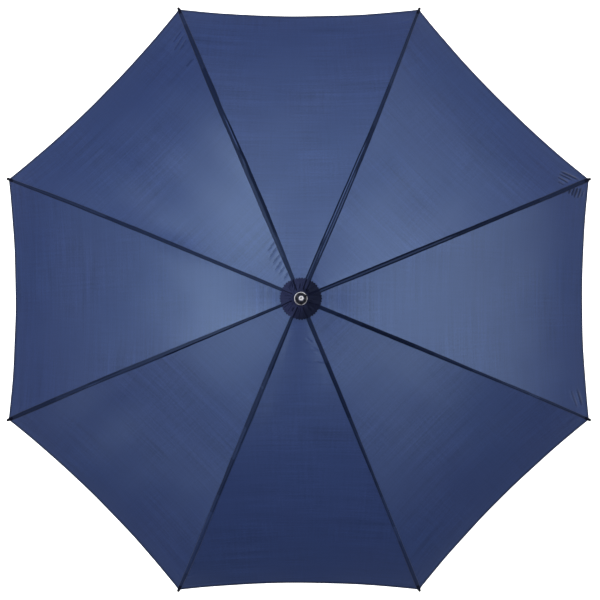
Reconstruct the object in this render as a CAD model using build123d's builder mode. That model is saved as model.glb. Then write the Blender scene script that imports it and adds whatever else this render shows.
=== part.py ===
from build123d import *
import os
from math import sin, cos, tan, asin, atan2, radians, degrees, sqrt, pi

# Straight umbrella with eight folding ribs, shown open.
# Millimetres. +Z runs along the shaft from the handle to the ferrule.
# The origin is the middle of the cylindrical part of the grip.

os.makedirs("parts", exist_ok=True)

# ---------------------------------------------------------------- driving dimensions
RIB_COUNT = 8
FIRST_AZIMUTH = 22.5            # panels face +X and +Y, ribs stand between them
HALF_STEP = 180.0 / RIB_COUNT   # half the angle between two ribs

CROWN_Z = 690.0                 # height of the rib pivots above the grip's middle
RIB_PIVOT_R = 11.0              # ring that the rib eyes turn on
RIB_LENGTH = 578.0              # pivot to the end of the tip, along the arc
RIB_SLOPE_CROWN = 12.0          # slope of the rib at the crown, degrees below level
RIB_SLOPE_TIP = 44.0            # and at its tip
RIB_WIDTH, RIB_DEPTH, RIB_WALL = 3.2, 2.6, 0.5
RIB_END = 560.0                 # where the channel stops and the tip cap starts
FOLD_ANGLE = 61.5               # how far a rib folds down

BRACKET_AT = 250.0              # arc length from the rib's pivot to its bracket
BRACKET_DROP = 5.0              # stretcher pivot below the rib's middle line
STRETCHER_LENGTH = 290.0        # pivot to pivot
STRETCHER_WIDTH, STRETCHER_DEPTH = 3.0, 2.4
TONGUE = 1.1                    # thickness of the flattened ends
EYE_R = 0.60                    # eye of a tongue
WIRE_R = 0.50                   # ring wires of the notch and the runner

CLOTH_OFFSET = 2.1              # rib's middle line to the canopy's inner face
CLOTH_T = 0.7
CLOTH_INNER_R = 6.4
CLOTH_END = 571.0               # arc length of the hem at a rib
HEM_SAGITTA = 11.5              # how far the hem draws in between two tips
CLOTH_GAP = 0.15                # half the gap between two gores
STRAP_MID_R, STRAP_PLAN_LENGTH = 395.0, 130.0   # tie strap: where its middle is, and its length seen from above

SHAFT_R, SHAFT_BORE_R = 5.0, 4.4
SHAFT_BOTTOM, SHAFT_TOP = -40.0, CROWN_Z + 32.0

NOTCH_R, NOTCH_BELOW, NOTCH_ABOVE = 13.5, 4.0, 1.2
SLOT_WIDTH = 1.7

RUNNER_PIVOT_R = 12.0
RUNNER_HUB_R, RUNNER_HUB_HALF = 14.5, 5.0
RUNNER_SLEEVE_R, RUNNER_BORE_R = 9.0, 5.08
RUNNER_BELOW = 55.0             # wire plane to the sleeve's lower end
KEYWAY_R, KEYWAY_WIDTH = 7.6, 2.4

GRIP_R = 13.0
GRIP_HALF = 35.0                # half the length of the true cylinder
HANDLE_BOTTOM, HANDLE_TOP = -58.0, 72.0

CATCH_T = 1.2
CATCH_PIN_X = -1.5
CATCH_PIN_R = 0.60
CATCH_LEVER = 29.0              # pin to the tooth's shoulder
CATCH_TOOTH_X = 7.2             # how far the tooth stands out of the shaft's axis

# ---------------------------------------------------------------- derived geometry
slope0, slope1 = radians(RIB_SLOPE_CROWN), radians(RIB_SLOPE_TIP)
ARC_R = RIB_LENGTH / (slope1 - slope0)
ARC_CR = RIB_PIVOT_R - ARC_R * sin(slope0)      # centre of the rib's arc, radial
ARC_CZ = CROWN_Z - ARC_R * cos(slope0)          # and height


def slope_at(s):
    return slope0 + s / ARC_R


def arc_point(theta, off=0.0):
    return (ARC_CR + (ARC_R + off) * sin(theta), ARC_CZ + (ARC_R + off) * cos(theta))


def rib_plane(s, off=0.0):
    """Plane across the rib at arc length s: its x is sideways, its y is outwards from the arc, its normal runs along the rib."""
    theta = slope_at(s)
    r, z = arc_point(theta, off)
    return Plane(origin=(r, 0, z), x_dir=(0, 1, 0), z_dir=(cos(theta), 0, -sin(theta)))


def side_plane(s, off=0.0):
    """Plane that holds the rib: its x runs along the rib at arc length s, its y is outwards from the arc."""
    theta = slope_at(s)
    r, z = arc_point(theta, off)
    return Plane(origin=(r, 0, z), x_dir=(cos(theta), 0, -sin(theta)), z_dir=(0, -1, 0))


J_R, J_Z = arc_point(slope_at(BRACKET_AT), -BRACKET_DROP)
RUNNER_Z = J_Z - sqrt(STRETCHER_LENGTH**2 - (J_R - RUNNER_PIVOT_R) ** 2)
STRETCHER_ANGLE = atan2(J_Z - RUNNER_Z, J_R - RUNNER_PIVOT_R)   # above level

fold = radians(FOLD_ANGLE)
JX, JZ = J_R - RIB_PIVOT_R, J_Z - CROWN_Z
JC_R = RIB_PIVOT_R + JX * cos(fold) + JZ * sin(fold)
JC_Z = CROWN_Z + JZ * cos(fold) - JX * sin(fold)
RUNNER_CLOSED_Z = JC_Z - sqrt(STRETCHER_LENGTH**2 - (JC_R - RUNNER_PIVOT_R) ** 2)
STRETCHER_CLOSED = atan2(JC_Z - RUNNER_CLOSED_Z, JC_R - RUNNER_PIVOT_R)
TRAVEL = RUNNER_CLOSED_Z - RUNNER_Z
STRETCHER_TURN = -(degrees(STRETCHER_CLOSED - STRETCHER_ANGLE) + FOLD_ANGLE)

AZIMUTHS = [FIRST_AZIMUTH + 360.0 / RIB_COUNT * k for k in range(RIB_COUNT)]

# ================================================================ crown
with BuildPart() as top_notch:
    with BuildSketch(Plane.XY.offset(CROWN_Z - NOTCH_BELOW)):
        Circle(NOTCH_R)
        Circle(SHAFT_R, mode=Mode.SUBTRACT)
    extrude(amount=NOTCH_BELOW + NOTCH_ABOVE)
    # neck under the disc, pinned through the shaft
    with BuildSketch(Plane.XY.offset(CROWN_Z - NOTCH_BELOW)):
        Circle(8.4)
        Circle(SHAFT_R, mode=Mode.SUBTRACT)
    extrude(amount=-8.0)
    chamfer(top_notch.faces().sort_by(Axis.Z)[0].outer_wire().edges(), 0.8)
    # one radial slot for each rib's tongue, open outwards, upwards and downwards
    with BuildSketch(Plane.XY.offset(CROWN_Z - NOTCH_BELOW)):
        with PolarLocations(9.0 + 4.0, RIB_COUNT, start_angle=FIRST_AZIMUTH):
            Rectangle(8.0, SLOT_WIDTH)
    extrude(amount=NOTCH_BELOW + NOTCH_ABOVE, mode=Mode.SUBTRACT)
    # groove that the ring wire lies in
    with BuildSketch(Plane.XY.offset(CROWN_Z - WIRE_R - 0.1)):
        Circle(RIB_PIVOT_R + WIRE_R + 0.1)
        Circle(RIB_PIVOT_R - WIRE_R - 0.1, mode=Mode.SUBTRACT)
    extrude(amount=NOTCH_ABOVE + 2.0, mode=Mode.SUBTRACT)
    # cross hole for the notch pin
    with BuildSketch(Plane.XZ.offset(-12)):
        with Locations((0, CROWN_Z - 8.0)):
            Circle(0.9)
    extrude(amount=24.0, mode=Mode.SUBTRACT)
top_notch.part.label = "top_notch"
export_step(top_notch.part, "parts/top_notch.step")

with BuildPart() as notch_wire:
    with BuildSketch(Plane.XZ):
        with Locations((RIB_PIVOT_R, CROWN_Z)):
            Circle(WIRE_R)
    revolve(axis=Axis.Z)
notch_wire.part.label = "notch_wire"
export_step(notch_wire.part, "parts/notch_wire.step")

# outer rosette: a round cloth patch that follows the crown of the canopy
ROSETTE_R = 34.3
ROSETTE_OFF = CLOTH_OFFSET + CLOTH_T + 0.3


def arc_at_radius(r, off):
    theta = asin((r - ARC_CR) / (ARC_R + off))
    return (r, ARC_CZ + (ARC_R + off) * cos(theta))


with BuildPart() as rosette:
    with BuildSketch(Plane.XZ):
        with BuildLine():
            lower_in = arc_at_radius(5.6, ROSETTE_OFF)
            lower_mid = arc_at_radius(20.0, ROSETTE_OFF)
            lower_out = arc_at_radius(ROSETTE_R, ROSETTE_OFF)
            upper_in = arc_at_radius(5.6, ROSETTE_OFF + 0.8)
            upper_mid = arc_at_radius(20.0, ROSETTE_OFF + 0.8)
            upper_out = arc_at_radius(ROSETTE_R, ROSETTE_OFF + 0.8)
            ThreePointArc(lower_in, lower_mid, lower_out)
            Line(lower_out, upper_out)
            ThreePointArc(upper_out, upper_mid, upper_in)
            Line(upper_in, lower_in)
        make_face()
    revolve(axis=Axis.Z)
rosette.part.label = "rosette"
export_step(rosette.part, "parts/rosette.step")

CUP_Z = CROWN_Z + 5.9
with BuildPart() as top_cup:
    with BuildSketch(Plane.XZ):
        with BuildLine():
            Polyline(
                (SHAFT_R, CUP_Z), (10.6, CUP_Z), (11.5, CUP_Z + 0.9), (11.5, CUP_Z + 4.2),
                (10.9, CUP_Z + 4.8), (10.1, CUP_Z + 4.8), (9.6, CUP_Z + 4.3), (9.6, CUP_Z + 1.6),
                (SHAFT_R, CUP_Z + 1.6), close=True,
            )
        make_face()
    revolve(axis=Axis.Z)
top_cup.part.label = "top_cup"
export_step(top_cup.part, "parts/top_cup.step")

FERRULE_Z = CUP_Z + 1.6
FERRULE_TOP = CROWN_Z + 62.0
with BuildPart() as ferrule:
    with BuildSketch(Plane.XZ):
        with BuildLine():
            Polyline(
                (0, FERRULE_TOP - 10.5), (2.5, FERRULE_TOP - 10.5), (2.5, FERRULE_TOP),
                (4.3, FERRULE_TOP), (4.7, FERRULE_TOP - 1.0), (5.9, FERRULE_TOP - 22.0),
                (7.1, FERRULE_Z + 14.0), (8.9, FERRULE_Z + 4.5), (9.3, FERRULE_Z + 3.4),
                (9.3, FERRULE_Z), (SHAFT_R, FERRULE_Z), (SHAFT_R, SHAFT_TOP), (0, SHAFT_TOP),
                close=True,
            )
        make_face()
    revolve(axis=Axis.Z)
    # cross hole for the ferrule pin
    with BuildSketch(Plane.XZ.offset(-12)):
        with Locations((0, SHAFT_TOP - 9.0)):
            Circle(0.9)
    extrude(amount=24.0, mode=Mode.SUBTRACT)
ferrule.part.label = "ferrule"
export_step(ferrule.part, "parts/ferrule.step")

TIP_TOP = CROWN_Z + 79.0
with BuildPart() as ferrule_tip:
    with BuildSketch(Plane.XZ):
        with BuildLine():
            Polyline(
                (0, FERRULE_TOP - 10.0), (2.2, FERRULE_TOP - 10.0), (2.5, FERRULE_TOP - 9.6),
                (2.5, FERRULE_TOP), (4.7, FERRULE_TOP), (4.7, TIP_TOP - 1.4),
            )
            ThreePointArc((4.7, TIP_TOP - 1.4), (4.25, TIP_TOP - 0.42), (3.2, TIP_TOP))
            Line((3.2, TIP_TOP), (0, TIP_TOP))
            Line((0, TIP_TOP), (0, FERRULE_TOP - 10.0))
        make_face()
    revolve(axis=Axis.Z)
ferrule_tip.part.label = "ferrule_tip"
export_step(ferrule_tip.part, "parts/ferrule_tip.step")

# ================================================================ shaft and catches
RUNNER_BOTTOM = RUNNER_Z - RUNNER_BELOW
TOP_CATCH_SHOULDER = RUNNER_BOTTOM - 0.5
TOP_CATCH_PIN = TOP_CATCH_SHOULDER - CATCH_LEVER
BOTTOM_CATCH_SHOULDER = RUNNER_CLOSED_Z - 39.0
BOTTOM_CATCH_PIN = BOTTOM_CATCH_SHOULDER + CATCH_LEVER
STOP_PIN_Z = RUNNER_Z + RUNNER_HUB_HALF + 0.4 + 1.0

with BuildPart() as shaft:
    with BuildSketch(Plane.XY.offset(SHAFT_BOTTOM)):
        Circle(SHAFT_R)
        Circle(SHAFT_BORE_R, mode=Mode.SUBTRACT)
    extrude(amount=SHAFT_TOP - SHAFT_BOTTOM)
    # windows that the two catches stand out of
    with BuildSketch(Plane.YZ):
        with Locations((0, TOP_CATCH_SHOULDER - 6.5), (0, BOTTOM_CATCH_SHOULDER + 6.5)):
            SlotOverall(18.0, 1.8, rotation=90)
    extrude(amount=8.0, mode=Mode.SUBTRACT)
    # cross holes: notch pin, ferrule pin and runner stop pin
    with BuildSketch(Plane.XZ.offset(-12)):
        with Locations((0, CROWN_Z - 8.0), (0, SHAFT_TOP - 9.0)):
            Circle(0.9)
        with Locations((0, STOP_PIN_Z)):
            Circle(1.0)
        with Locations((CATCH_PIN_X, TOP_CATCH_PIN), (CATCH_PIN_X, BOTTOM_CATCH_PIN)):
            Circle(CATCH_PIN_R)
    extrude(amount=24.0, mode=Mode.SUBTRACT)
shaft.part.label = "shaft"
export_step(shaft.part, "parts/shaft.step")

with BuildPart() as shaft_pins:
    with BuildSketch(Plane.XZ.offset(-7.6)):
        with Locations((0, CROWN_Z - 8.0)):
            Circle(0.9)
    extrude(amount=15.2)
    with BuildSketch(Plane.XZ.offset(-5.6)):
        with Locations((0, SHAFT_TOP - 9.0)):
            Circle(0.9)
    extrude(amount=11.2)
    with BuildSketch(Plane.XZ.offset(-7.2)):
        with Locations((0, STOP_PIN_Z)):
            Circle(1.0)
    extrude(amount=14.4)
    with BuildSketch(Plane.XZ.offset(-4.6)):
        with Locations((CATCH_PIN_X, TOP_CATCH_PIN), (CATCH_PIN_X, BOTTOM_CATCH_PIN)):
            Circle(CATCH_PIN_R)
    extrude(amount=9.2)
shaft_pins.part.label = "shaft_pins"
export_step(shaft_pins.part, "parts/shaft_pins.step")


def catch_profile(pin_z, up):
    """Side view of a catch: an arm from its pin to a tooth with a square shoulder and a long ramp. up is 1 if the tooth is above the pin."""
    pts = [(-3.0, 0.0), (-1.0, CATCH_LEVER), (CATCH_TOOTH_X, CATCH_LEVER), (CATCH_TOOTH_X, CATCH_LEVER - 2.0),
           (4.2, CATCH_LEVER - 12.0), (1.2, CATCH_LEVER - 13.5), (0.1, 0.0)]
    return [(x, pin_z + up * h) for x, h in pts]


with BuildPart() as top_catch:
    with BuildSketch(Plane.XZ.offset(-CATCH_T / 2)):
        with BuildLine():
            Polyline(*catch_profile(TOP_CATCH_PIN, 1), close=True)
        make_face()
        with Locations((CATCH_PIN_X, TOP_CATCH_PIN)):
            Circle(1.55)
            Circle(CATCH_PIN_R + 0.05, mode=Mode.SUBTRACT)
    extrude(amount=CATCH_T)
top_catch.part.label = "top_catch"
export_step(top_catch.part, "parts/top_catch.step")

with BuildPart() as bottom_catch:
    with BuildSketch(Plane.XZ.offset(-CATCH_T / 2)):
        with BuildLine():
            Polyline(*catch_profile(BOTTOM_CATCH_PIN, -1), close=True)
        make_face()
        with Locations((CATCH_PIN_X, BOTTOM_CATCH_PIN)):
            Circle(1.55)
            Circle(CATCH_PIN_R + 0.05, mode=Mode.SUBTRACT)
    extrude(amount=CATCH_T)
bottom_catch.part.label = "bottom_catch"
export_step(bottom_catch.part, "parts/bottom_catch.step")

# ================================================================ runner
with BuildPart() as runner:
    with BuildSketch(Plane.XZ):
        with BuildLine():
            z0, z1 = RUNNER_BOTTOM, RUNNER_Z + RUNNER_HUB_HALF
            Polyline(
                (RUNNER_BORE_R, z0), (9.6, z0), (10.4, z0 + 0.8), (10.4, z0 + 4.2), (RUNNER_SLEEVE_R, z0 + 6.0),
                (RUNNER_SLEEVE_R, RUNNER_Z - RUNNER_HUB_HALF - 3.5), (RUNNER_HUB_R - 0.6, RUNNER_Z - RUNNER_HUB_HALF),
                (RUNNER_HUB_R, RUNNER_Z - RUNNER_HUB_HALF + 0.6), (RUNNER_HUB_R, z1 - 0.6), (RUNNER_HUB_R - 0.6, z1),
                (RUNNER_BORE_R, z1), close=True,
            )
        make_face()
    revolve(axis=Axis.Z)
    # radial slots for the stretchers' tongues
    with BuildSketch(Plane.XY.offset(RUNNER_Z - RUNNER_HUB_HALF - 4.0)):
        with PolarLocations(9.9 + 4.0, RIB_COUNT, start_angle=FIRST_AZIMUTH):
            Rectangle(8.0, SLOT_WIDTH)
    extrude(amount=2 * RUNNER_HUB_HALF + 5.0, mode=Mode.SUBTRACT)
    # groove that the ring wire is laid in from above
    with BuildSketch(Plane.XY.offset(RUNNER_Z - WIRE_R - 0.1)):
        Circle(RUNNER_PIVOT_R + WIRE_R + 0.1)
        Circle(RUNNER_PIVOT_R - WIRE_R - 0.1, mode=Mode.SUBTRACT)
    extrude(amount=RUNNER_HUB_HALF + 2.0, mode=Mode.SUBTRACT)
    # keyway that clears the catches' teeth, over the whole length
    with BuildSketch(Plane.XY.offset(RUNNER_BOTTOM - 1.0)):
        with Locations(((RUNNER_BORE_R + KEYWAY_R) / 2 - 1.0, 0)):
            Rectangle(KEYWAY_R - RUNNER_BORE_R + 2.0, KEYWAY_WIDTH)
    extrude(amount=RUNNER_BELOW + RUNNER_HUB_HALF + 3.0, mode=Mode.SUBTRACT)
    # thumb window through which the lower catch is pressed
    with BuildSketch(Plane.YZ):
        with Locations((0, RUNNER_Z - 31.0)):
            RectangleRounded(4.4, 18.0, 1.5)
    extrude(amount=14.0, mode=Mode.SUBTRACT)
runner.part.label = "runner"
export_step(runner.part, "parts/runner.step")

with BuildPart() as runner_wire:
    with BuildSketch(Plane.XZ):
        with Locations((RUNNER_PIVOT_R, RUNNER_Z)):
            Circle(WIRE_R)
    revolve(axis=Axis.Z)
runner_wire.part.label = "runner_wire"
export_step(runner_wire.part, "parts/runner_wire.step")

# ================================================================ handle
with BuildPart() as handle:
    with BuildSketch(Plane.XZ):
        with BuildLine():
            Line((SHAFT_R, SHAFT_BOTTOM), (0, SHAFT_BOTTOM))
            Line((0, SHAFT_BOTTOM), (0, HANDLE_BOTTOM))
            Line((0, HANDLE_BOTTOM), (11.6, HANDLE_BOTTOM))
            ThreePointArc((11.6, HANDLE_BOTTOM), (12.55, HANDLE_BOTTOM + 8.0), (GRIP_R, -GRIP_HALF - 5.0))
            Line((GRIP_R, -GRIP_HALF - 5.0), (GRIP_R, GRIP_HALF + 2.0))
            ThreePointArc((GRIP_R, GRIP_HALF + 2.0), (12.3, GRIP_HALF + 16.0), (9.6, HANDLE_TOP))
            Line((9.6, HANDLE_TOP), (SHAFT_R, HANDLE_TOP))
            Line((SHAFT_R, HANDLE_TOP), (SHAFT_R, SHAFT_BOTTOM))
        make_face()
    revolve(axis=Axis.Z)
handle.part.label = "handle"
export_step(handle.part, "parts/handle.step")

with BuildPart() as handle_collar:
    with BuildSketch(Plane.XZ):
        with BuildLine():
            Polyline(
                (SHAFT_R, HANDLE_TOP), (9.4, HANDLE_TOP), (9.9, HANDLE_TOP + 0.5), (9.9, HANDLE_TOP + 4.0),
                (9.2, HANDLE_TOP + 5.6), (7.4, HANDLE_TOP + 8.0), (SHAFT_R, HANDLE_TOP + 8.4), close=True,
            )
        make_face()
    revolve(axis=Axis.Z)
handle_collar.part.label = "handle_collar"
export_step(handle_collar.part, "parts/handle_collar.step")

with BuildPart() as handle_end_cap:
    with BuildSketch(Plane.XZ):
        with BuildLine():
            Line((0, HANDLE_BOTTOM), (11.2, HANDLE_BOTTOM))
            ThreePointArc((11.2, HANDLE_BOTTOM), (10.2, HANDLE_BOTTOM - 3.2), (7.4, HANDLE_BOTTOM - 5.0))
            Line((7.4, HANDLE_BOTTOM - 5.0), (0, HANDLE_BOTTOM - 5.0))
            Line((0, HANDLE_BOTTOM - 5.0), (0, HANDLE_BOTTOM))
        make_face()
    revolve(axis=Axis.Z)
handle_end_cap.part.label = "handle_end_cap"
export_step(handle_end_cap.part, "parts/handle_end_cap.step")

# ================================================================ one rib, in the XZ plane
arc_axis = Axis((ARC_CR, 0, ARC_CZ), (0, 1, 0))
CHANNEL_START = 10.0

with BuildPart() as rib:
    # pressed steel channel, open on the inside of the arc
    with BuildSketch(rib_plane(CHANNEL_START)):
        Rectangle(RIB_WIDTH, RIB_DEPTH)
        with Locations((0, -RIB_WALL)):
            Rectangle(RIB_WIDTH - 2 * RIB_WALL, RIB_DEPTH, mode=Mode.SUBTRACT)
    revolve(axis=arc_axis, revolution_arc=degrees((RIB_END - CHANNEL_START) / ARC_R))
    # flattened tongue with the eye
    with BuildSketch(side_plane(0).offset(-TONGUE / 2)):
        with Locations((CHANNEL_START / 2 + 3.0, 0)):
            Rectangle(CHANNEL_START + 6.0, 2.4)
        Circle(1.6)
        Circle(EYE_R, mode=Mode.SUBTRACT)
    extrude(amount=TONGUE)

with BuildPart() as rib_tip:
    # cap on the rib's end: a short sleeve, then a small ball
    with BuildSketch(side_plane(RIB_END)):
        with BuildLine():
            run = RIB_LENGTH - RIB_END
            Line((0, 0), (0, 1.9))
            Line((0, 1.9), (run - 4.1, 1.9))
            ThreePointArc((run - 4.1, 1.9), (run - 1.2, 2.1), (run, 0.7))
            Line((run, 0.7), (run, 0))
            Line((run, 0), (0, 0))
        make_face()
    revolve(axis=Axis(side_plane(RIB_END).origin, side_plane(RIB_END).x_dir))

with BuildPart() as rib_bracket:
    # saddle under the rib with two ears, and the pin through them
    with BuildSketch(rib_plane(BRACKET_AT - 3.5)):
        with Locations((0, -0.25)):
            Rectangle(4.4, 3.5)
        with Locations((0, 0.35)):
            Rectangle(RIB_WIDTH + 0.1, 3.5, mode=Mode.SUBTRACT)
    extrude(amount=7.0)
    with BuildSketch(side_plane(BRACKET_AT, -BRACKET_DROP).offset(-1.4)):
        with Locations((0, 1.9)):
            Rectangle(4.4, 3.4)
        Circle(2.2)
        Circle(0.75, mode=Mode.SUBTRACT)
    extrude(amount=2.8)
    with BuildSketch(side_plane(BRACKET_AT, -BRACKET_DROP).offset(-0.75)):
        with Locations((0, -1.9)):
            Rectangle(9.0, 10.0)
    extrude(amount=1.5, mode=Mode.SUBTRACT)
    with BuildSketch(side_plane(BRACKET_AT, -BRACKET_DROP).offset(-2.0)):
        Circle(0.75)
    extrude(amount=4.0)

# canopy gore: the half panels on both sides of a rib. Each panel is curved one way only, with straight lines from rib to rib.
half = radians(HALF_STEP)
theta_in = asin((CLOTH_INNER_R * 0.9 - ARC_CR) / ARC_R)
theta_out = slope_at(CLOTH_END + 6.0)


def panel_curve(off, count=11):
    out = []
    for i in range(count):
        theta = theta_in + (theta_out - theta_in) * i / (count - 1)
        r, z = arc_point(theta, off)
        out.append((r * cos(half), z))
    return out


e_u = Vector(cos(half), sin(half), 0)
e_l = Vector(-sin(half), cos(half), 0)
panel_plane = Plane(origin=(0, 0, 0), x_dir=e_u, z_dir=e_l * -1)
hem_r, _ = arc_point(slope_at(CLOTH_END), CLOTH_OFFSET)
hem_half = hem_r * sin(half)
hem_mid_u = hem_r * cos(half) - HEM_SAGITTA
hem_R = (hem_half**2 + HEM_SAGITTA**2) / (2 * HEM_SAGITTA)


def plan(u, l):
    p = e_u * u + e_l * l
    return (p.X, p.Y)


with BuildPart() as canopy_gore:
    with BuildSketch(panel_plane):
        with BuildLine():
            low, high = panel_curve(CLOTH_OFFSET), panel_curve(CLOTH_OFFSET + CLOTH_T)
            Spline(*low)
            Line(low[-1], high[-1])
            Spline(*high)
            Line(high[0], low[0])
        make_face()
    extrude(amount=hem_half + 20.0)
    with BuildSketch(Plane.XY.offset(CROWN_Z - 330.0)):
        with BuildLine():
            a = (CLOTH_INNER_R, 0)
            b = (hem_r, 0)
            m = plan(hem_mid_u + (hem_half / 2) ** 2 / (2 * hem_R), -hem_half / 2)
            d = plan(hem_mid_u, -CLOTH_GAP)
            e = plan(CLOTH_INNER_R, -CLOTH_GAP)
            Line(a, b)
            ThreePointArc(b, m, d)
            Line(d, e)
            Line(e, a)
        make_face()
    extrude(amount=380.0, mode=Mode.INTERSECT)
    mirror(about=Plane.XZ)

# strap that ties the closed umbrella: sewn to the underside of one gore beside its rib, lying along the cloth
STRAP_T = 0.8
with BuildPart() as tie_strap_piece:
    with BuildSketch(panel_plane):
        with BuildLine():
            low, high = panel_curve(CLOTH_OFFSET - 0.3 - STRAP_T), panel_curve(CLOTH_OFFSET - 0.3)
            Spline(*low)
            Line(low[-1], high[-1])
            Spline(*high)
            Line(high[0], low[0])
        make_face()
    extrude(amount=hem_half + 20.0)
    with BuildSketch(Plane.XY.offset(CROWN_Z - 330.0)):
        with Locations((STRAP_MID_R, 12.0)):
            RectangleRounded(STRAP_PLAN_LENGTH, 14.0, 3.0)
    extrude(amount=380.0, mode=Mode.INTERSECT)

# ================================================================ one stretcher, in the XZ plane
st_dir = Vector(-cos(STRETCHER_ANGLE), 0, -sin(STRETCHER_ANGLE))      # from the bracket down to the runner
st_side = Plane(origin=(J_R, 0, J_Z), x_dir=st_dir, z_dir=(0, 1, 0))  # y points up and inwards
st_up = st_side.y_dir
ST_START, ST_END = 9.0, STRETCHER_LENGTH - 12.0

with BuildPart() as stretcher:
    start = Vector(J_R, 0, J_Z) + st_dir * ST_START
    with BuildSketch(Plane(origin=start, x_dir=(0, 1, 0), z_dir=st_dir)):
        Rectangle(STRETCHER_WIDTH, STRETCHER_DEPTH)
    extrude(amount=ST_END - ST_START)
    # the channel is open on its lower side
    with BuildSketch(Plane(origin=start - st_up * 0.5, x_dir=(0, 1, 0), z_dir=st_dir)):
        Rectangle(STRETCHER_WIDTH - 1.0, STRETCHER_DEPTH)
    extrude(amount=ST_END - ST_START, mode=Mode.SUBTRACT)
    # tongue with an eye at the bracket
    with BuildSketch(st_side.offset(-TONGUE / 2)):
        with Locations((8.0, 0)):
            Rectangle(16.0, 2.4)
        Circle(1.8)
        Circle(0.80, mode=Mode.SUBTRACT)
        # tongue with an open hook at the runner's ring wire
        with Locations((STRETCHER_LENGTH - 9.3, 0)):
            Rectangle(18.0, 2.4)
        with Locations((STRETCHER_LENGTH, 0)):
            Circle(1.9)
        with Locations((STRETCHER_LENGTH, 0)):
            Circle(0.85, mode=Mode.SUBTRACT)
        with Locations((STRETCHER_LENGTH - 0.2, 1.5)):
            Rectangle(2.1, 3.0, mode=Mode.SUBTRACT)
        with BuildLine():
            Polyline(
                (STRETCHER_LENGTH + 0.85, 0), (STRETCHER_LENGTH + 0.85, 3.0), (STRETCHER_LENGTH - 8.0, 3.0),
                (STRETCHER_LENGTH - 3.6, 0.9), (STRETCHER_LENGTH - 0.85, 0), close=True,
            )
        make_face(mode=Mode.SUBTRACT)
    extrude(amount=TONGUE)

# ================================================================ the eight arms
for number, azimuth in enumerate(AZIMUTHS, 1):
    for name, source in (
        ("rib", rib), ("rib_tip", rib_tip), ("rib_bracket", rib_bracket),
        ("canopy_gore", canopy_gore), ("stretcher", stretcher),
    ):
        with BuildPart() as arm_piece:
            add(source.part, rotation=(0, 0, azimuth))
        arm_piece.part.label = f"{name}_{number}"
        export_step(arm_piece.part, f"parts/{name}_{number}.step")

with BuildPart() as tie_strap:
    add(tie_strap_piece.part, rotation=(0, 0, AZIMUTHS[0]))
tie_strap.part.label = "tie_strap"
export_step(tie_strap.part, "parts/tie_strap.step")

print("arc radius", round(ARC_R, 3), "tip radius", round(arc_point(slope1)[0], 2), "tip z", round(arc_point(slope1)[1], 2))
print("bracket pivot", round(J_R, 4), round(J_Z, 4))
print("runner pivot z open", round(RUNNER_Z, 4), "closed", round(RUNNER_CLOSED_Z, 4), "travel", round(TRAVEL, 4))
print("stretcher angle open", round(degrees(STRETCHER_ANGLE), 4), "closed", round(degrees(STRETCHER_CLOSED), 4), "turn", round(STRETCHER_TURN, 4))
print("top catch pin", CATCH_PIN_X, round(TOP_CATCH_PIN, 4), "bottom catch pin", round(BOTTOM_CATCH_PIN, 4))
print("overall", HANDLE_BOTTOM - 5.0, TIP_TOP)
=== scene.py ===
import math

import bpy
import numpy as np
from mathutils import Matrix, Vector


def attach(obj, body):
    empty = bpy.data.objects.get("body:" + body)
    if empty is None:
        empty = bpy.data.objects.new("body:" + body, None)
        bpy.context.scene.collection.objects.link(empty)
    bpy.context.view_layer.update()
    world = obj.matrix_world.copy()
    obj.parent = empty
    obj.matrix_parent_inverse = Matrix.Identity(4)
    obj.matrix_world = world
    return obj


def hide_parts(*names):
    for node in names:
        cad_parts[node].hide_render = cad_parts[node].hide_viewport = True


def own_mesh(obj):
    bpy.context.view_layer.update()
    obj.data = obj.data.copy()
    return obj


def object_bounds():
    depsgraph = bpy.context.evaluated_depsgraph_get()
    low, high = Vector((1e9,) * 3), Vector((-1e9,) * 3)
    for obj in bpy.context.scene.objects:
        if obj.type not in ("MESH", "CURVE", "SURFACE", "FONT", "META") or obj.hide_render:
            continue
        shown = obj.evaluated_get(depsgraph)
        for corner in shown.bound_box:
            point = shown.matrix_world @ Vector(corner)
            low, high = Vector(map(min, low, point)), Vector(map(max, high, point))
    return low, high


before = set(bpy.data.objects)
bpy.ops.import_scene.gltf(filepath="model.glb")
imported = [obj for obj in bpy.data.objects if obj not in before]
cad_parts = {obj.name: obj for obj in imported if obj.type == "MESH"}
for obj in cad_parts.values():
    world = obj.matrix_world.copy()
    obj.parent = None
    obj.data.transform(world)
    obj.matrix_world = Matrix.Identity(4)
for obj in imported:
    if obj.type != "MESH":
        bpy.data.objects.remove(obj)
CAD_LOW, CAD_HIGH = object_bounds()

# An open straight umbrella: eight ribs, a navy satin canopy, a darker crown patch and a slim ferrule.
# Lengths below are millimetres in a rib's own frame (x outwards along the rib, y sideways, z up);
# objects are made in metres.

MM = 0.001

# ---------------------------------------------------------------- the rib's arc and the panels
PIVOT_R, CROWN_Z, RIB_LENGTH = 11.0, 690.0, 578.0
SLOPE0, SLOPE1 = math.radians(12.0), math.radians(44.0)
ARC_R = RIB_LENGTH / (SLOPE1 - SLOPE0)
ARC_CR = PIVOT_R - ARC_R * math.sin(SLOPE0)
ARC_CZ = CROWN_Z - ARC_R * math.cos(SLOPE0)
HALF = math.radians(22.5)
SIN_H, COS_H, TAN_H = math.sin(HALF), math.cos(HALF), math.tan(HALF)
CLOTH_TOP, CLOTH_UNDER = 2.75, 2.42     # offsets of the cloth's two faces from the rib's middle line
CLOTH_MID = 0.5 * (CLOTH_TOP + CLOTH_UNDER)
CLOTH_IN_R = 14.6
HEM_MID, HEM_BEND = 460.7, 1669.0       # where the hem crosses a panel's middle, and the radius it is cut to
HEM_S = 571.0
RIBS = range(1, 9)


def azimuth(k):
    return math.radians(22.5 + 45.0 * (k - 1))


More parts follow.
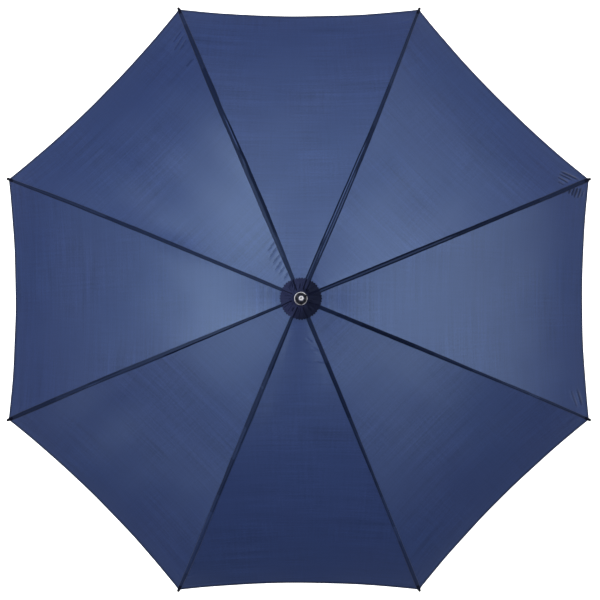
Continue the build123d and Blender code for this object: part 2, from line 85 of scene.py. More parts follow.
def on_arc(s, off):
    th = SLOPE0 + np.asarray(s, float) / ARC_R
    return ARC_CR + (ARC_R + off) * np.sin(th), ARC_CZ + (ARC_R + off) * np.cos(th)


def arc_s(rho, off=CLOTH_MID):
    return (np.arcsin((np.asarray(rho, float) - ARC_CR) / (ARC_R + off)) - SLOPE0) * ARC_R


def hem_rho(t):
    """Station of the hem on the rib's arc, for t from 0 at the rib to 1 at the panel's middle."""
    t = np.asarray(t, float)
    rho = np.full(t.shape, HEM_MID / COS_H)
    for _ in range(30):
        rho = (HEM_MID + (rho * SIN_H * (1 - t)) ** 2 / (2 * HEM_BEND)) / COS_H
    return rho


def to_world(points, k, side=1.0):
    """Rib frame in mm to the row frame in metres. side -1 mirrors y, for the half panel on the other side of the rib."""
    p = np.asarray(points, float)
    a = azimuth(k)
    x, y, z = p[..., 0], p[..., 1] * side, p[..., 2]
    return np.stack([x * math.cos(a) - y * math.sin(a), x * math.sin(a) + y * math.cos(a), z], -1) * MM


def turn(vectors, k, side=1.0):
    return to_world(np.asarray(vectors, float) / MM, k, side)


def unit(v):
    return v / np.maximum(np.linalg.norm(v, axis=-1, keepdims=True), 1e-12)


# ---------------------------------------------------------------- meshes
def add_mesh(name, verts, faces, materials, face_material=None, normals=None, uv=None, smooth=True):
    """verts (n,3) in metres; faces a list of (n,4) or (n,3) arrays."""
    me = bpy.data.meshes.new(name)
    verts = np.asarray(verts, np.float32)
    me.vertices.add(len(verts))
    me.vertices.foreach_set("co", verts.ravel())
    loops = np.concatenate([np.asarray(f, np.int32).ravel() for f in faces])
    sizes = np.concatenate([np.full(len(f), np.asarray(f).shape[1], np.int32) for f in faces])
    starts = np.concatenate([[0], np.cumsum(sizes)[:-1]]).astype(np.int32)
    me.loops.add(len(loops))
    me.loops.foreach_set("vertex_index", loops)
    me.polygons.add(len(sizes))
    me.polygons.foreach_set("loop_start", starts)
    me.polygons.foreach_set("use_smooth", np.full(len(sizes), bool(smooth)))
    for m in materials:
        me.materials.append(m)
    if face_material is not None:
        me.polygons.foreach_set("material_index", np.asarray(face_material, np.int32))
    me.update(calc_edges=True)
    me.validate()
    if uv is not None:
        layer = me.uv_layers.new(name="cloth")
        vi = np.empty(len(me.loops), np.int32)
        me.loops.foreach_get("vertex_index", vi)
        layer.data.foreach_set("uv", np.asarray(uv, np.float32)[vi].ravel())
    if normals is not None:
        me.normals_split_custom_set_from_vertices(np.asarray(normals, np.float32).tolist())
    ob = bpy.data.objects.new(name, me)
    bpy.context.scene.collection.objects.link(ob)
    return ob


def grid_faces(rows, cols, start=0, flip=False):
    i, j = np.meshgrid(np.arange(rows - 1), np.arange(cols - 1), indexing="ij")
    a = start + i * cols + j
    f = np.stack([a, a + cols, a + cols + 1, a + 1], -1).reshape(-1, 4)
    return f[:, ::-1] if flip else f


def grid_normals(p):
    """Normals of a grid of points, from its own slopes."""
    du = np.gradient(p, axis=0)
    dv = np.gradient(p, axis=1)
    return unit(np.cross(du, dv))


def cloth_solid(top, under, up, uv):
    """Vertices, faces, normals and uv of a thin closed sheet from its two faces, grids of the same size. up is about the top's normal."""
    rows, cols = top.shape[:2]
    n = rows * cols
    verts = np.concatenate([top.reshape(-1, 3), under.reshape(-1, 3)])
    first = np.cross(top[1, 0] - top[0, 0], top[1, 1] - top[1, 0])
    flip = float(first @ up[0, 0]) < 0
    faces = [grid_faces(rows, cols, 0, flip), grid_faces(rows, cols, n, not flip)]
    ring = np.concatenate([
        np.arange(cols), np.arange(1, rows) * cols + cols - 1,
        (rows - 1) * cols + np.arange(cols - 2, -1, -1), np.arange(rows - 2, -1, -1) * cols])
    a, b = ring[:-1], ring[1:]
    rim = np.stack([a, b, b + n, a + n], -1)
    faces.append(rim if not flip else rim[:, ::-1])
    normals = np.concatenate([up.reshape(-1, 3), -up.reshape(-1, 3)])
    uvs = np.concatenate([uv.reshape(-1, 2), uv.reshape(-1, 2)])
    return verts, faces, normals, uvs


def tube_faces(rows, cols, start=0, flip=False):
    """Faces round a closed profile of cols points, swept through rows."""
    i, j = np.meshgrid(np.arange(rows - 1), np.arange(cols), indexing="ij")
    k = (j + 1) % cols
    f = np.stack([start + i * cols + j, start + (i + 1) * cols + j, start + (i + 1) * cols + k, start + i * cols + k], -1).reshape(-1, 4)
    return f[:, ::-1] if flip else f


class Build:
    """Gathers vertices and faces of one piece."""

    def __init__(self):
        self.v, self.f, self.m, self.uv, self.count = [], [], [], [], 0

    def put(self, verts, faces, material=0, uv=None):
        verts = np.asarray(verts, float).reshape(-1, 3)
        for f in faces:
            f = np.asarray(f)
            self.f.append(f + self.count)
            self.m.append(np.full(len(f), material))
        self.v.append(verts)
        self.uv.append(np.zeros((len(verts), 2)) if uv is None else np.asarray(uv, float).reshape(-1, 2))
        self.count += len(verts)

    def make(self, name, materials, smooth=True):
        quads = [f for f in self.f]
        return add_mesh(name, np.concatenate(self.v), quads, materials, np.concatenate(self.m), None, np.concatenate(self.uv), smooth)


def swept(build, rings, material=0, caps=True, uv=None, outward=None):
    """rings (rows, cols, 3): closed profiles. Caps have points of their own, so that the sides stay smooth up to them."""
    rings = np.asarray(rings, float)
    rows, cols = rings.shape[:2]
    centre = rings.mean(axis=1)
    j = rows // 2
    j1 = min(j + 1, rows - 1) if j + 1 < rows else j - 1
    e1, e2 = rings[j1, 0] - rings[j, 0], rings[j, 1] - rings[j, 0]
    if j1 < j:
        e1 = -e1
    flip = float(np.cross(e1, e2) @ (rings[j, 0] + rings[j, 1] - 2 * centre[j])) < 0
    build.put(rings, [tube_faces(rows, cols, 0, flip)], material, uv)
    if caps:
        for row, way in ((0, not flip), (rows - 1, flip)):
            c = np.concatenate([rings[row], centre[row][None]])
            i = np.arange(cols)
            tri = np.stack([i, (i + 1) % cols, np.full(cols, cols)], -1)
            u = None if uv is None else np.concatenate([np.asarray(uv).reshape(rows, cols, 2)[row], np.asarray(uv).reshape(rows, cols, 2)[row].mean(0)[None]])
            build.put(c, [tri if way else tri[:, ::-1]], material, u)


def stitches(build, at, along, out, length, width, height, material):
    """Small threads lying on a surface: at, along and out are (n,3) arrays in metres and unit vectors."""
    at, along, out = (np.asarray(a, float).reshape(-1, 3) for a in (at, along, out))
    n = len(at)
    if not n:
        return
    across = unit(np.cross(out, along))
    L, W, H = (np.broadcast_to(np.asarray(x, float), (n,))[:, None] for x in (length, width, height))
    sink = -0.35 * H * out
    ring = []
    for fl, fw, fh in ((-0.5, 0, 0.15), (-0.36, 0.5, 0), (0.36, 0.5, 0), (0.5, 0, 0.15), (0.36, -0.5, 0), (-0.36, -0.5, 0), (-0.3, 0, 1), (0.3, 0, 1)):
        ring.append(at + fl * L * along + fw * W * across + fh * H * out + (sink if fh < 1 else 0))
    v = np.stack(ring, 1).reshape(-1, 3)
    b = (np.arange(n) * 8)[:, None]
    quads = np.concatenate([b + np.array([[1, 7, 6, 2]])[:, [0, 2, 1, 3]] * 0 + np.array([[1, 2, 7, 6]]), b + np.array([[4, 5, 6, 7]])])
    tris = np.concatenate([b + np.array([[0, 1, 6]]), b + np.array([[2, 3, 7]]), b + np.array([[3, 4, 7]]), b + np.array([[5, 0, 6]])])
    build.put(v, [quads[:, ::-1], tris[:, ::-1]], material)


# ---------------------------------------------------------------- materials
def new_material(name):
    m = bpy.data.materials.new(name)
    m.use_nodes = True
    nt = m.node_tree
    nt.nodes.clear()
    out = nt.nodes.new("ShaderNodeOutputMaterial")
    p = nt.nodes.new("ShaderNodeBsdfPrincipled")
    nt.links.new(p.outputs["BSDF"], out.inputs["Surface"])
    return m, nt, p


def node(nt, kind, inputs=None, **props):
    n = nt.nodes.new(kind)
    for key, value in props.items():
        setattr(n, key, value)
    for key, value in (inputs or {}).items():
        socket = n.inputs[key]
        if isinstance(value, bpy.types.NodeSocket):
            nt.links.new(value, socket)
        else:
            socket.default_value = value
    return n


def mul(nt, a, b):
    return node(nt, "ShaderNodeMath", {0: a, 1: b}, operation="MULTIPLY").outputs[0]


def plus(nt, a, b):
    return node(nt, "ShaderNodeMath", {0: a, 1: b}, operation="ADD").outputs[0]


def remap(nt, value, low, high, to_low, to_high):
    return node(nt, "ShaderNodeMapRange", {"Value": value, "From Min": low, "From Max": high, "To Min": to_low, "To Max": to_high}).outputs["Result"]


def noise(nt, vector, scale, detail=2.0, rough=0.5):
    return node(nt, "ShaderNodeTexNoise", {"Vector": vector, "Scale": scale, "Detail": detail, "Roughness": rough}).outputs["Fac"]


def scaled(nt, vector, xyz, turn_z=0.0):
    return node(nt, "ShaderNodeMapping", {"Vector": vector, "Scale": xyz, "Rotation": (0, 0, turn_z)}).outputs["Vector"]


def mixed(nt, factor, a, b):
    n = nt.nodes.new("ShaderNodeMix")
    n.data_type = "RGBA"
    for index, value in ((0, factor), (6, a), (7, b)):
        if isinstance(value, bpy.types.NodeSocket):
            nt.links.new(value, n.inputs[index])
        else:
            n.inputs[index].default_value = value if index == 0 else (*value, 1.0)
    return n.outputs[2]


def tinted(nt, colour, factor):
    """colour times a factor that varies."""
    return node(nt, "ShaderNodeVectorMath", {0: colour, "Scale": factor}, operation="SCALE").outputs[0]


def bump(nt, height, strength, distance, normal=None):
    ins = {"Height": height, "Strength": strength, "Distance": distance}
    if normal is not None:
        ins["Normal"] = normal
    return node(nt, "ShaderNodeBump", ins).outputs["Normal"]


def woven(name, base, other, rough=0.5, spec=0.4, gloss=(0.5, 0.7, 1.0), sheen=0.0, pitch=0.42, streaks=0.06, mottle=0.07, weave=0.35, puckers=0.0, bars=0.0, uneven=1.0, shade_ramp=None):
    """Woven cloth. uv is in metres: u across the panel (weft), v along it (warp)."""
    m, nt, p = new_material(name)
    uv = node(nt, "ShaderNodeUVMap", uv_map="cloth").outputs["UV"]
    obj = node(nt, "ShaderNodeTexCoord").outputs["Object"]
    # plain weave: two thread directions that pass over each other
    f = 1000.0 / pitch
    warp = node(nt, "ShaderNodeTexWave", {"Vector": scaled(nt, uv, (f / 20 * math.pi * 1.0, 0, 0)), "Scale": 1.0, "Distortion": 0.0}, wave_type="BANDS", bands_direction="X", wave_profile="SIN").outputs["Fac"]
    weft = node(nt, "ShaderNodeTexWave", {"Vector": scaled(nt, uv, (0, f / 20 * math.pi * 1.0, 0)), "Scale": 1.0, "Distortion": 0.0}, wave_type="BANDS", bands_direction="Y", wave_profile="SIN").outputs["Fac"]
    threads = node(nt, "ShaderNodeMath", {0: warp, 1: weft}, operation="MAXIMUM").outputs[0]
    # slubs: yarns that are a little thicker or lighter for part of their length
    weft_streak = noise(nt, scaled(nt, uv, (22, 420, 1)), 1.0, 3.0, 0.62)
    warp_streak = noise(nt, scaled(nt, uv, (520, 16, 1)), 1.0, 3.0, 0.6)
    fine = noise(nt, scaled(nt, uv, (900, 900, 1)), 1.0, 1.0, 0.5)
    large = noise(nt, obj, 4.5, 3.0, 0.55)
    blotch = noise(nt, obj, 26.0, 3.0, 0.6)
    streak = plus(nt, mul(nt, weft_streak, 0.62), mul(nt, warp_streak, 0.38))
    factor = plus(nt, remap(nt, streak, 0.3, 0.7, 1 - streaks, 1 + streaks), remap(nt, blotch, 0.3, 0.7, -mottle * 0.45, mottle * 0.45))
    factor = plus(nt, factor, remap(nt, fine, 0.25, 0.75, -streaks * 0.7, streaks * 0.7))
    if bars:
        # bars across the panel where a run of weft lies a little looser, some close together and some wider apart
        close_bars = noise(nt, scaled(nt, uv, (13, 300, 1)), 1.0, 2.0, 0.5)
        wide_bars = noise(nt, scaled(nt, uv, (5, 85, 1)), 1.0, 2.0, 0.5)
        where = remap(nt, noise(nt, scaled(nt, uv, (9, 7, 1)), 1.0, 2.0, 0.5), 0.38, 0.62, 0.25, 1.0)
        both = plus(nt, remap(nt, close_bars, 0.3, 0.7, -bars, bars), remap(nt, wide_bars, 0.3, 0.7, -bars * 0.8, bars * 0.8))
        along_warp = noise(nt, scaled(nt, uv, (260, 15, 1)), 1.0, 2.0, 0.5)
        both = plus(nt, both, remap(nt, along_warp, 0.3, 0.7, -bars * 0.62, bars * 0.62))
        both = plus(nt, both, remap(nt, noise(nt, scaled(nt, uv, (330, 420, 1)), 1.0, 3.0, 0.6), 0.3, 0.7, -bars * 1.15, bars * 1.15))
        factor = plus(nt, factor, mul(nt, both, where))
    factor = plus(nt, factor, remap(nt, threads, 0.0, 1.0, -0.05, 0.05))
    colour = mixed(nt, remap(nt, large, 0.32, 0.68, 0.0, 1.0), base, other)
    if shade_ramp is not None:
        # painted shade: the colour darkens towards one side in plan, a little unevenly: bearing of that side, from, to
        # (metres along it) and the colour it ends at on the far side
        bearing, start, stop, left = shade_ramp
        across = node(nt, "ShaderNodeVectorMath", {0: obj, 1: (math.cos(bearing), math.sin(bearing), 0.0)}, operation="DOT_PRODUCT").outputs["Value"]
        patchy = plus(nt, across, remap(nt, noise(nt, obj, 60.0, 2.0, 0.5), 0.3, 0.7, -0.007, 0.007))
        colour = mixed(nt, remap(nt, patchy, start, stop, 0.0, 1.0), colour, left)
    nt.links.new(tinted(nt, colour, factor), p.inputs["Base Color"])
    nt.links.new(plus(nt, remap(nt, blotch, 0.3, 0.7, rough - 0.05 * uneven, rough + 0.05 * uneven), remap(nt, streak, 0.3, 0.7, 0.035 * uneven, -0.035 * uneven)), p.inputs["Roughness"])
    p.inputs["Specular IOR Level"].default_value = spec
    p.inputs["Specular Tint"].default_value = (*gloss, 1.0)
    p.inputs["Sheen Weight"].default_value = sheen
    p.inputs["Sheen Roughness"].default_value = 0.45
    height = plus(nt, mul(nt, threads, weave), mul(nt, streak, 0.5 * uneven))
    normal = bump(nt, height, 0.28, 0.00012)
    if puckers:
        soft = noise(nt, obj, 75.0, 2.0, 0.5)
        normal = bump(nt, soft, puckers, 0.0012, normal)
    nt.links.new(normal, p.inputs["Normal"])
    return m


def thread(name, base, other, rough=0.55, spec=0.2):
    m, nt, p = new_material(name)
    obj = node(nt, "ShaderNodeTexCoord").outputs["Object"]
    colour = mixed(nt, remap(nt, noise(nt, obj, 180.0, 2.0), 0.3, 0.7, 0.0, 1.0), base, other)
    nt.links.new(colour, p.inputs["Base Color"])
    nt.links.new(remap(nt, noise(nt, obj, 900.0, 2.0), 0.3, 0.7, rough - 0.08, rough + 0.08), p.inputs["Roughness"])
    nt.links.new(bump(nt, noise(nt, obj, 2600.0, 1.0), 0.4, 0.0002), p.inputs["Normal"])
    p.inputs["Specular IOR Level"].default_value = spec
    return m


def metal(name, base, other, rough=0.25, brushed=(1, 1, 1), scratch=0.15, worn=0.1, metallic=1.0, grain=60.0):
    """Drawn or pressed metal: fine scratches along one direction, faint stains, and small variations of gloss."""
    m, nt, p = new_material(name)
    obj = node(nt, "ShaderNodeTexCoord").outputs["Object"]
    lines = noise(nt, scaled(nt, obj, brushed), grain, 4.0, 0.65)
    stain = noise(nt, obj, 38.0, 4.0, 0.6)
    pits = noise(nt, obj, 640.0, 2.0, 0.6)
    colour = mixed(nt, remap(nt, stain, 0.35, 0.7, 0.0, 1.0), base, other)
    nt.links.new(tinted(nt, colour, remap(nt, lines, 0.3, 0.7, 1 - worn, 1 + worn * 0.6)), p.inputs["Base Color"])
    nt.links.new(plus(nt, remap(nt, lines, 0.3, 0.7, rough - 0.06, rough + 0.08), remap(nt, stain, 0.3, 0.75, 0.0, 0.12)), p.inputs["Roughness"])
    p.inputs["Metallic"].default_value = metallic
    nt.links.new(bump(nt, plus(nt, lines, mul(nt, pits, 0.4)), scratch, 0.0003), p.inputs["Normal"])
    return m


def plastic(name, base, other, rough=0.42, grain=900.0, depth=0.25, spec=0.45, coat=0.0):
    """Moulded plastic: fine spark-eroded grain, slight flow marks and handling shine."""
    m, nt, p = new_material(name)
    obj = node(nt, "ShaderNodeTexCoord").outputs["Object"]
    texture = noise(nt, obj, grain, 3.0, 0.6)
    flow = noise(nt, scaled(nt, obj, (1, 1, 0.25)), 42.0, 3.0, 0.55)
    shine = noise(nt, obj, 17.0, 2.0, 0.5)
    colour = mixed(nt, remap(nt, flow, 0.3, 0.7, 0.0, 1.0), base, other)
    nt.links.new(tinted(nt, colour, remap(nt, texture, 0.3, 0.7, 0.88, 1.14)), p.inputs["Base Color"])
    nt.links.new(plus(nt, remap(nt, shine, 0.3, 0.7, rough - 0.09, rough + 0.06), remap(nt, texture, 0.3, 0.7, -0.04, 0.05)), p.inputs["Roughness"])
    p.inputs["Specular IOR Level"].default_value = spec
    p.inputs["Coat Weight"].default_value = coat
    nt.links.new(bump(nt, plus(nt, texture, mul(nt, flow, 0.3)), depth, 0.00025), p.inputs["Normal"])
    return m


NAVY = (0.0139, 0.0245, 0.0770)
NAVY_2 = (0.0148, 0.0240, 0.0748)
M_CANOPY = woven("canopy_satin", NAVY, NAVY_2, rough=0.30, spec=0.50, puckers=0.012, mottle=0.012, streaks=0.10, bars=0.145, uneven=0.10)
M_HEM = woven("hem_satin", tuple(0.80 * c for c in NAVY), tuple(0.74 * c for c in NAVY_2), rough=0.36, spec=0.38)
# darker copies of the same cloth: painted shade inside its folds
M_SHADED = [woven(f"canopy_fold_shade_{i}", tuple(q * c for c in NAVY), tuple(q * c for c in NAVY_2), rough=0.30, spec=0.50 * q * q, puckers=0.012, mottle=0.012, streaks=0.10, bars=0.145, uneven=0.10) for i, q in enumerate((0.78, 0.58, 0.42))]
# the seams' colours are painted shade, from the darkest folds, where the doubled cloth keeps the light back, to cloth
# that lies almost flat
SEAM_SHADES = (0.07, 0.10, 0.14, 0.19, 0.26, 0.35, 0.47, 0.62, 0.80)
M_SEAM_SHADES = []
for i, tone in enumerate(SEAM_SHADES):
    deep = min(max((0.32 - tone) / 0.22, 0.0), 1.0)
    shade_colour = tuple(tone * c * q for c, q in zip(NAVY, (0.93 - 0.30 * deep, 0.96 - 0.04 * deep, 1.02 + 0.24 * deep)))
    M_SEAM_SHADES.append(woven(f"seam_painted_shade_{i}", shade_colour, tuple(0.94 * c for c in shade_colour), rough=0.42, spec=0.48 * tone, streaks=0.10, mottle=0.10, uneven=0.5))
# the hem's rolled outer edge is painted near black: painted shade on its side away from the light
M_HEM_EDGE_SHADE = woven("hem_edge_shade", (0.0022, 0.0027, 0.0085), (0.0028, 0.0031, 0.0085), rough=0.5, spec=0.08, streaks=0.1)
M_UNDER = woven("seam_allowance", tuple(0.85 * c for c in NAVY), tuple(0.78 * c for c in NAVY_2), rough=0.45, spec=0.25)
# the crown patch is painted darker towards one side in plan: painted shade
M_ROSETTE = woven("rosette_cloth", (0.0093, 0.0118, 0.0350), (0.0104, 0.0117, 0.0335), rough=0.50, spec=0.06, streaks=0.12, mottle=0.22, pitch=0.5, puckers=0.30, shade_ramp=(math.radians(-13), -0.010, 0.013, (0.0029, 0.0035, 0.0110)))
M_STRAP = woven("strap_webbing", (0.0100, 0.0165, 0.0520), (0.0120, 0.0170, 0.0500), rough=0.6, spec=0.25, streaks=0.10, pitch=0.9, weave=0.8)
M_THREAD = thread("navy_thread", (0.009, 0.013, 0.040), (0.014, 0.019, 0.052))
# darker copies of the patch's cloth, also darker towards one side: painted shade in its creases and along its sewn
# lines
M_PATCH_CREASE_SHADE = woven("rosette_crease_shade", (0.0055, 0.0072, 0.0230), (0.0060, 0.0070, 0.0220), rough=0.50, spec=0.04, streaks=0.12, mottle=0.22, pitch=0.5, puckers=0.30, shade_ramp=(math.radians(-13), -0.010, 0.013, (0.0022, 0.0028, 0.0090)))
M_PATCH_DEEP_SHADE = woven("rosette_deep_crease_shade", (0.0020, 0.0030, 0.0110), (0.0024, 0.0030, 0.0105), rough=0.50, spec=0.02, streaks=0.12, mottle=0.22, pitch=0.5, puckers=0.30)
M_THREAD_DARK = thread("dark_thread", (0.0012, 0.0014, 0.0046), (0.0020, 0.0022, 0.0064), spec=0.03)
M_THREAD_SEAM = thread("seam_thread", (0.0026, 0.0040, 0.0150), (0.0040, 0.0056, 0.0190), spec=0.05)
M_RIB = metal("rib_zinc", (0.33, 0.34, 0.36), (0.26, 0.27, 0.29), rough=0.36, brushed=(1, 1, 1), scratch=0.22, worn=0.14, grain=120)
M_SHAFT = metal("shaft_chromed", (0.52, 0.53, 0.55), (0.44, 0.45, 0.47), rough=0.17, brushed=(6, 6, 0.35), scratch=0.10, worn=0.06, grain=90)
M_WIRE = metal("wire_steel", (0.40, 0.40, 0.41), (0.32, 0.31, 0.30), rough=0.34, scratch=0.2, worn=0.12, grain=300)
M_HUB = plastic("hub_nylon", (0.0085, 0.0085, 0.0095), (0.0125, 0.0125, 0.0135), rough=0.46)
M_FERRULE = plastic("ferrule_moulded", (0.0022, 0.0022, 0.0026), (0.0042, 0.0042, 0.0048), rough=0.40, spec=0.16, grain=1200, depth=0.15)
M_BRIGHT = metal("plated_ring", (0.43, 0.43, 0.465), (0.33, 0.33, 0.36), rough=0.22, scratch=0.08, worn=0.05, grain=160)
M_TIP = metal("ferrule_end", (0.56, 0.56, 0.585), (0.38, 0.38, 0.40), rough=0.24, scratch=0.22, worn=0.16, grain=420)
# the metal at the floor of the ferrule end's hollow is darker: painted shade in the recess
M_PIT_SHADE = metal("ferrule_hollow_shade", (0.34, 0.34, 0.36), (0.22, 0.22, 0.24), rough=0.42, scratch=0.3, worn=0.2, grain=500)
M_CAP = plastic("rib_tip_moulded", (0.0028, 0.0030, 0.0045), (0.0045, 0.0046, 0.0064), rough=0.4, spec=0.18)
M_GRIP = plastic("grip_moulded", (0.0075, 0.0078, 0.0090), (0.0115, 0.0118, 0.0130), rough=0.50, grain=700, depth=0.45)

M_COLLAR = metal("plated_collar", (0.60, 0.61, 0.64), (0.46, 0.47, 0.50), rough=0.22, scratch=0.08, worn=0.05, grain=160)

# over a short stretch the crown ring is painted near black, a painted dark reflection, and made rougher like dull
# plating
nt = M_BRIGHT.node_tree
p = next(n for n in nt.nodes if n.type == "BSDF_PRINCIPLED")
round_it = node(nt, "ShaderNodeTexGradient", {"Vector": node(nt, "ShaderNodeTexCoord").outputs["Object"]}, gradient_type="RADIAL").outputs["Fac"]
away = node(nt, "ShaderNodeMath", {0: plus(nt, round_it, -0.5 - 26.0 / 360)}, operation="ABSOLUTE").outputs[0]
dull_and_dark_reflection = remap(nt, away, 0.026, 0.040, 1.0, 0.0)
was = {key: p.inputs[key].links[0].from_socket for key in ("Base Color", "Roughness")}
nt.links.new(mixed(nt, dull_and_dark_reflection, was["Base Color"], (0.030, 0.030, 0.036)), p.inputs["Base Color"])
nt.links.new(plus(nt, was["Roughness"], mul(nt, dull_and_dark_reflection, 0.3)), p.inputs["Roughness"])

FINISH = {
    "shaft": M_SHAFT, "shaft_pins": M_WIRE, "top_notch": M_HUB, "notch_wire": M_WIRE, "top_cup": M_BRIGHT,
    "ferrule": M_FERRULE, "ferrule_tip": M_TIP, "handle": M_GRIP, "handle_collar": M_COLLAR, "handle_end_cap": M_GRIP,
    "runner": M_HUB, "runner_wire": M_WIRE, "top_catch": M_WIRE, "bottom_catch": M_WIRE,
}
for k in RIBS:
    FINISH[f"rib_{k}"] = M_RIB
    FINISH[f"rib_bracket_{k}"] = M_RIB
    FINISH[f"stretcher_{k}"] = M_RIB
    FINISH[f"rib_tip_{k}"] = M_CAP
for name, finish in FINISH.items():
    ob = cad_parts[name]
    ob.data.materials.clear()
    ob.data.materials.append(finish)

# ---------------------------------------------------------------- camera, light, floor
scene = bpy.context.scene
scene.view_settings.view_transform = "Standard"
scene.view_settings.look = "None"
scene.view_settings.exposure = 0.0
scene.view_settings.gamma = 1.0

TIP_PLANE = 0.422
CAMERA_UP = 6.0
FIELD = 0.978                       # width of the view in the plane of the rib tips
camera_data = bpy.data.cameras.new("camera")
camera = bpy.data.objects.new("camera", camera_data)
scene.collection.objects.link(camera)
scene.camera = camera
camera_data.sensor_width = 36.0
camera_data.lens = 36.0 * CAMERA_UP / FIELD
camera_data.dof.use_dof = False
camera_data.clip_start, camera_data.clip_end = 0.1, 100.0
camera.location = (-0.060, -0.033, TIP_PLANE + CAMERA_UP)
PX = FIELD / 600.0
aim = Vector(((300 - 299.0) * PX, -(300 - 299.5) * PX, TIP_PLANE))
back = (camera.location - aim).normalized()
right = Vector((0, 1, 0)).cross(back).normalized()
camera.rotation_mode = "QUATERNION"
camera.rotation_quaternion = Matrix((right, back.cross(right), back)).transposed().to_quaternion()

# a soft tent of panels round the umbrella, three metres away: elevation, {azimuth: watts}
TENT = [
    (14, {0: 8.4, 30: 7.1, 60: 8.9, 90: 2.9, 150: 6.3, 180: 3.2, 210: 10.1, 330: 3.1}),
    (30, {0: 12.9, 30: 4.5, 60: 14.4, 90: 6.2, 150: 21.0, 180: 4.0, 240: 4.3, 300: 12.7}),
    (46, {0: 13.9, 30: 8.9, 60: 14.9, 90: 6.4, 120: 15.5, 150: 14.3, 180: 22.8, 210: 3.6, 240: 13.1, 300: 8.6, 330: 6.8}),
    (63, {45: 1.5, 90: 8.0, 135: 10.2, 225: 9.8, 315: 2.1}),
    (80, {90: 6.8, 180: 5.6}),
]
TENT_R, TENT_Z = 3.0, 0.55
for elevation, row in TENT:
    for bearing, watts in row.items():
        name = f"panel_{elevation}_{bearing}"
        data = bpy.data.lights.new(name, "AREA")
        data.shape = "RECTANGLE"
        data.size, data.size_y = 1.3, 0.9
        data.energy = watts
        lamp = bpy.data.objects.new(name, data)
        e, a = math.radians(elevation), math.radians(bearing)
        lamp.location = (TENT_R * math.cos(e) * math.cos(a), TENT_R * math.cos(e) * math.sin(a), TENT_Z + TENT_R * math.sin(e))
        lamp.rotation_mode = "QUATERNION"
        lamp.rotation_quaternion = (Vector((0, 0, TENT_Z)) - lamp.location).to_track_quat("-Z", "Y")
        lamp.visible_camera = False
        scene.collection.objects.link(lamp)

AMBIENT = 0.03
world = bpy.data.worlds.new("studio")
scene.world = world
world.use_nodes = True
wt = world.node_tree
wt.nodes.clear()
w_out = wt.nodes.new("ShaderNodeOutputWorld")
w_dim = node(wt, "ShaderNodeBackground", {"Color": (1, 1, 1, 1), "Strength": AMBIENT})
w_bright = node(wt, "ShaderNodeBackground", {"Color": (1, 1, 1, 1), "Strength": 1.0})
w_path = wt.nodes.new("ShaderNodeLightPath")
w_mix = node(wt, "ShaderNodeMixShader", {0: w_path.outputs["Is Camera Ray"], 1: w_dim.outputs[0], 2: w_bright.outputs[0]})
wt.links.new(w_mix.outputs[0], w_out.inputs["Surface"])

FLOOR_Z = CAD_LOW.z - 0.002
floor_mat, ft, fp = new_material("floor_paper")
f_obj = node(ft, "ShaderNodeTexCoord").outputs["Object"]
ft.links.new(tinted(ft, (0.62, 0.62, 0.62), remap(ft, noise(ft, f_obj, 7.0, 4.0, 0.6), 0.3, 0.7, 0.992, 1.008)), fp.inputs["Base Color"])
fp.inputs["Roughness"].default_value = 0.95
fp.inputs["Specular IOR Level"].default_value = 0.1
fp.inputs["Emission Color"].default_value = (1, 1, 1, 1)
f_path = ft.nodes.new("ShaderNodeLightPath")
ft.links.new(remap(ft, f_path.outputs["Is Camera Ray"], 0.0, 1.0, 0.02, 1.0), fp.inputs["Emission Strength"])
f_out = next(n for n in ft.nodes if n.type == "OUTPUT_MATERIAL")
f_clear = ft.nodes.new("ShaderNodeBsdfTransparent")
f_side = ft.nodes.new("ShaderNodeNewGeometry")
f_mix = node(ft, "ShaderNodeMixShader", {0: f_side.outputs["Backfacing"], 1: fp.outputs[0], 2: f_clear.outputs[0]})
ft.links.new(f_mix.outputs[0], f_out.inputs["Surface"])
floor = add_mesh("floor", [(-60, -60, FLOOR_Z), (60, -60, FLOOR_Z), (60, 60, FLOOR_Z), (-60, 60, FLOOR_Z)], [np.array([[0, 1, 2, 3]])], [floor_mat], smooth=False)

# ---------------------------------------------------------------- canopy
rng = np.random.default_rng(41)
